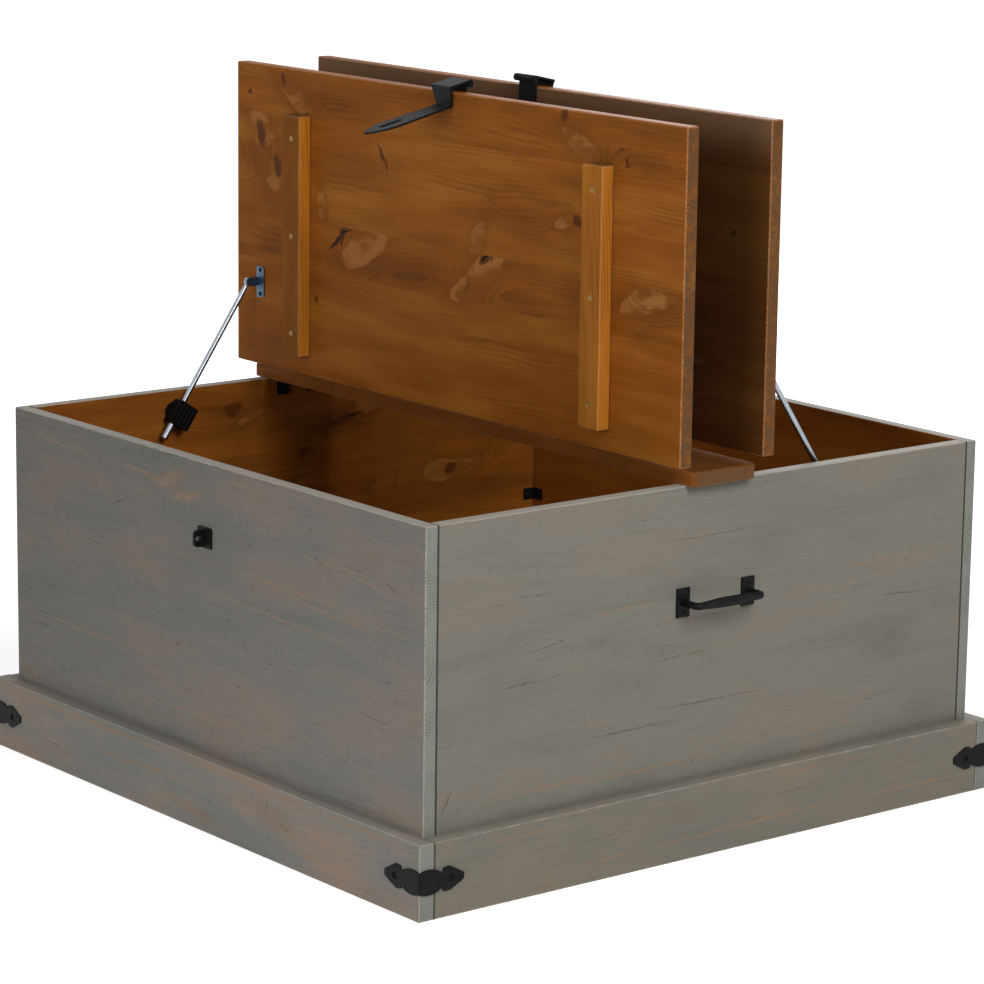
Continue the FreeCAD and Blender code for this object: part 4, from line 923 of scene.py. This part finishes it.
def fit_screws(iron):
    """All the small screws, on both halves of the trunk."""
    gold = plated_steel("yellow_passivated_screw_steel", "#B59A62", "#4C3A1C", "#A98F5A", 2.5, 0.6,
                        0.25)
    trunk = ("trunk", "trunk")
    lids = ("front_lid", "rear_lid")
    face = PLINTH_FACE + SHEET
    along = PLINTH_FACE - IRON_SCREW_INSET
    for end, sign, ends in (("front_right", 1, "rear_left"), ("front_left", -1, "rear_right")):
        seats = [((sign * along, -face, IRON_HEIGHT), (0, -1, 0)),
                 ((sign * face, -along, IRON_HEIGHT), (sign, 0, 0))]
        sink_seats(end + "_corner_iron", seats)
        sink_seats(ends + "_corner_iron", twin(seats))
        sunk = [((sign * along, SEAT_DEPTH - face, IRON_HEIGHT), (0, -1, 0)),
                ((sign * (face - SEAT_DEPTH), -along, IRON_HEIGHT), (sign, 0, 0))]
        both(end, ends, "iron_screws", trunk, iron, sunk, rise=SEAT_DEPTH - 0.1)
    both("right", "left", "handle_screws", trunk, iron,
         [((PANEL_FACE + HANDLE_PLATE, y, HANDLE_HEIGHT + z), (1, 0, 0))
          for y in either_way(HANDLE_HALF) for z in either_way(HANDLE_SCREW_HALF)],
         **HANDLE_HEAD)
    inner = INNER_FACE - SHEET
    both("right", "left", "rail_bracket_screws", trunk, iron,
         [((inner, y, BRACKET_SCREW_Z), (-1, 0, 0)) for y in either_way(BRACKET_HALF)]
         + [((BRACKET_SCREW_X, y, BODY_TOP - SHEET), (0, 0, -1))
            for y in either_way(BRACKET_HALF)], **SMALL_HEAD)
    corner = INNER_FACE - BRACE_SCREW_INSET
    both("front", "rear", "brace_screws", trunk, iron,
         [((x, -inner, BRACE_HEIGHT), (0, 1, 0)) for x in either_way(corner)]
         + [((sign * inner, -corner, BRACE_HEIGHT), (-sign, 0, 0)) for sign in either_way(1)],
         **SMALL_HEAD)
    lid_low, lid_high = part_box("front_lid_board")
    outer, top = lid_high.y * 1000 + SHEET, lid_high.z * 1000
    both("front", "rear", "hasp_screws", lids, iron,
         [((x, outer, top - HASP_SCREW_INSET), (0, 1, 0)) for x in either_way(HASP_SCREW_HALF)],
         **SMALL_HEAD)
    inside = lid_low.y * 1000 - STAY_PLATE
    both("front", "rear", "stay_plate_screws", lids, iron,
         [((STAY_X, inside, STAY_HEIGHT + z), (0, -1, 0)) for z in either_way(STAY_SCREW_HALF)],
         **STAY_HEAD)
    batten_low, batten_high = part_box("front_left_batten")
    low = batten_low.z * 1000 + BATTEN_SCREW_INSET
    high = batten_high.z * 1000 - BATTEN_SCREW_INSET
    seats = [((x, batten_low.y * 1000 + SUNK, z), (0, -1, 0))
             for x in either_way(BATTEN_HALF) for z in (low, (low + high) / 2, high)]
    for piece, side in zip(("front", "rear"), (seats, twin(seats))):
        made = screws(piece + "_batten_screw_set", piece + "_lid", "brass_screws", gold, side,
                      radius=SUNK_HEAD, shank=SHANK_LENGTH)
        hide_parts(piece + "_batten_screws")


# ---- Floor, light and camera, in metres

FLOOR_REACH = 40.0
SOFTBOX_SIZE = 2.0
LIGHT_AIM = Vector((0, 0, 0.35))    # the middle of the trunk
WORLD_LIGHT = 0.17                  # what the white room adds as light


def seen_share(tree):
    """1 on rays by which the camera sees a thing, straight or reflected, and 0 on others."""
    path = add(tree, "LightPath")
    seen = add(tree, "Math", (path.outputs["Is Camera Ray"],
                              path.outputs["Is Glossy Ray"]), operation="ADD")
    return add(tree, "Math", (seen, path.outputs["Is Transmission Ray"]),
               operation="ADD", use_clamp=True)


def lay_floor():
    """A white floor that keeps a soft shadow, out to beyond any view's horizon.

    To the camera it glows, fully so away from the trunk, so that it runs into the room.
    """
    data = bpy.data.meshes.new("floor")
    low, high = either_way(FLOOR_REACH)
    data.from_pydata([(low, low, 0), (high, low, 0), (high, high, 0), (low, high, 0)],
                     [], [(0, 1, 2, 3)])
    floor = stand("floor", data)
    made, tree = finish("white_seamless_paper", "#FFFFFF")
    place = add(tree, "TexCoord").outputs["Object"]
    away = add(tree, "VectorMath", (place,), operation="LENGTH").outputs["Value"]
    glow = add(tree, "MapRange", (away, 0.7, 3.2, 0.60, 1.0), **SMOOTH)
    lift = add(tree, "Math", (seen_share(tree), glow), **MUL)
    shader = add(tree, "BsdfPrincipled", {
        "Base Color": "#F2F2F2", "Roughness": 0.9, "Specular IOR Level": 0.05,
        "Emission Color": (1, 1, 1, 1), "Emission Strength": lift})
    add(tree, "OutputMaterial", {"Surface": shader})
    data.materials.append(made)


def light_room():
    """A white room, dim as a light, with a key light and two weaker softboxes."""
    world = bpy.data.worlds.new("studio")
    world.use_nodes = True
    tree = world.node_tree
    background = tree.nodes["Background"]
    background.inputs["Color"].default_value = (1, 1, 1, 1)
    strength = add(tree, "Math", (seen_share(tree), 1 - WORLD_LIGHT, WORLD_LIGHT), **MUL_ADD)
    tree.links.new(strength.outputs[0], background.inputs["Strength"])
    bpy.context.scene.world = world
    for name, place, power in (("key_softbox", (3.5, -0.45, 3.0), 118),
                               ("fill_softbox", (0.6, -3.5, 0.9), 44),
                               ("rear_softbox", (-2.4, 3.3, 1.9), 62)):
        lamp = bpy.data.lights.new(name, "AREA")
        lamp.energy = power
        lamp.size = SOFTBOX_SIZE
        holder = stand(name, lamp)
        holder.location = place
        holder.rotation_euler = (LIGHT_AIM - Vector(place)).to_track_quat("-Z", "Y").to_euler()


CAMERA_PLACE = (3558.93, -2842.84, 1324.96)    # in millimetres
CAMERA_RIGHT = (0.6226905, 0.7823576, 0.0131574)
CAMERA_DOWN = (0.1715764, -0.1201157, -0.9778209)
CAMERA_FORWARD = (-0.7634252, 0.6111373, -0.2090289)
FOCAL_PIXELS = 3761.47
IMAGE_PIXELS = 984


def set_camera():
    """The camera, with its right, down and forward directions as rows of its turn."""
    lens = bpy.data.cameras.new("camera")
    lens.sensor_width = 36
    lens.lens = FOCAL_PIXELS / IMAGE_PIXELS * lens.sensor_width
    lens.clip_end = 5 * FLOOR_REACH
    camera = stand("camera", lens)
    turn = Matrix((CAMERA_RIGHT, [-v for v in CAMERA_DOWN], [-v for v in CAMERA_FORWARD]))
    place = Matrix.Translation(Vector(CAMERA_PLACE) * MM)
    camera.matrix_world = place @ turn.transposed().to_4x4()
    bpy.context.scene.camera = camera


set_camera()
bpy.context.scene.view_settings.view_transform = "Standard"
dress_carcase()
dress_inside()
dress_lids()
fit_screws(dress_metal())
lay_floor()
light_room()
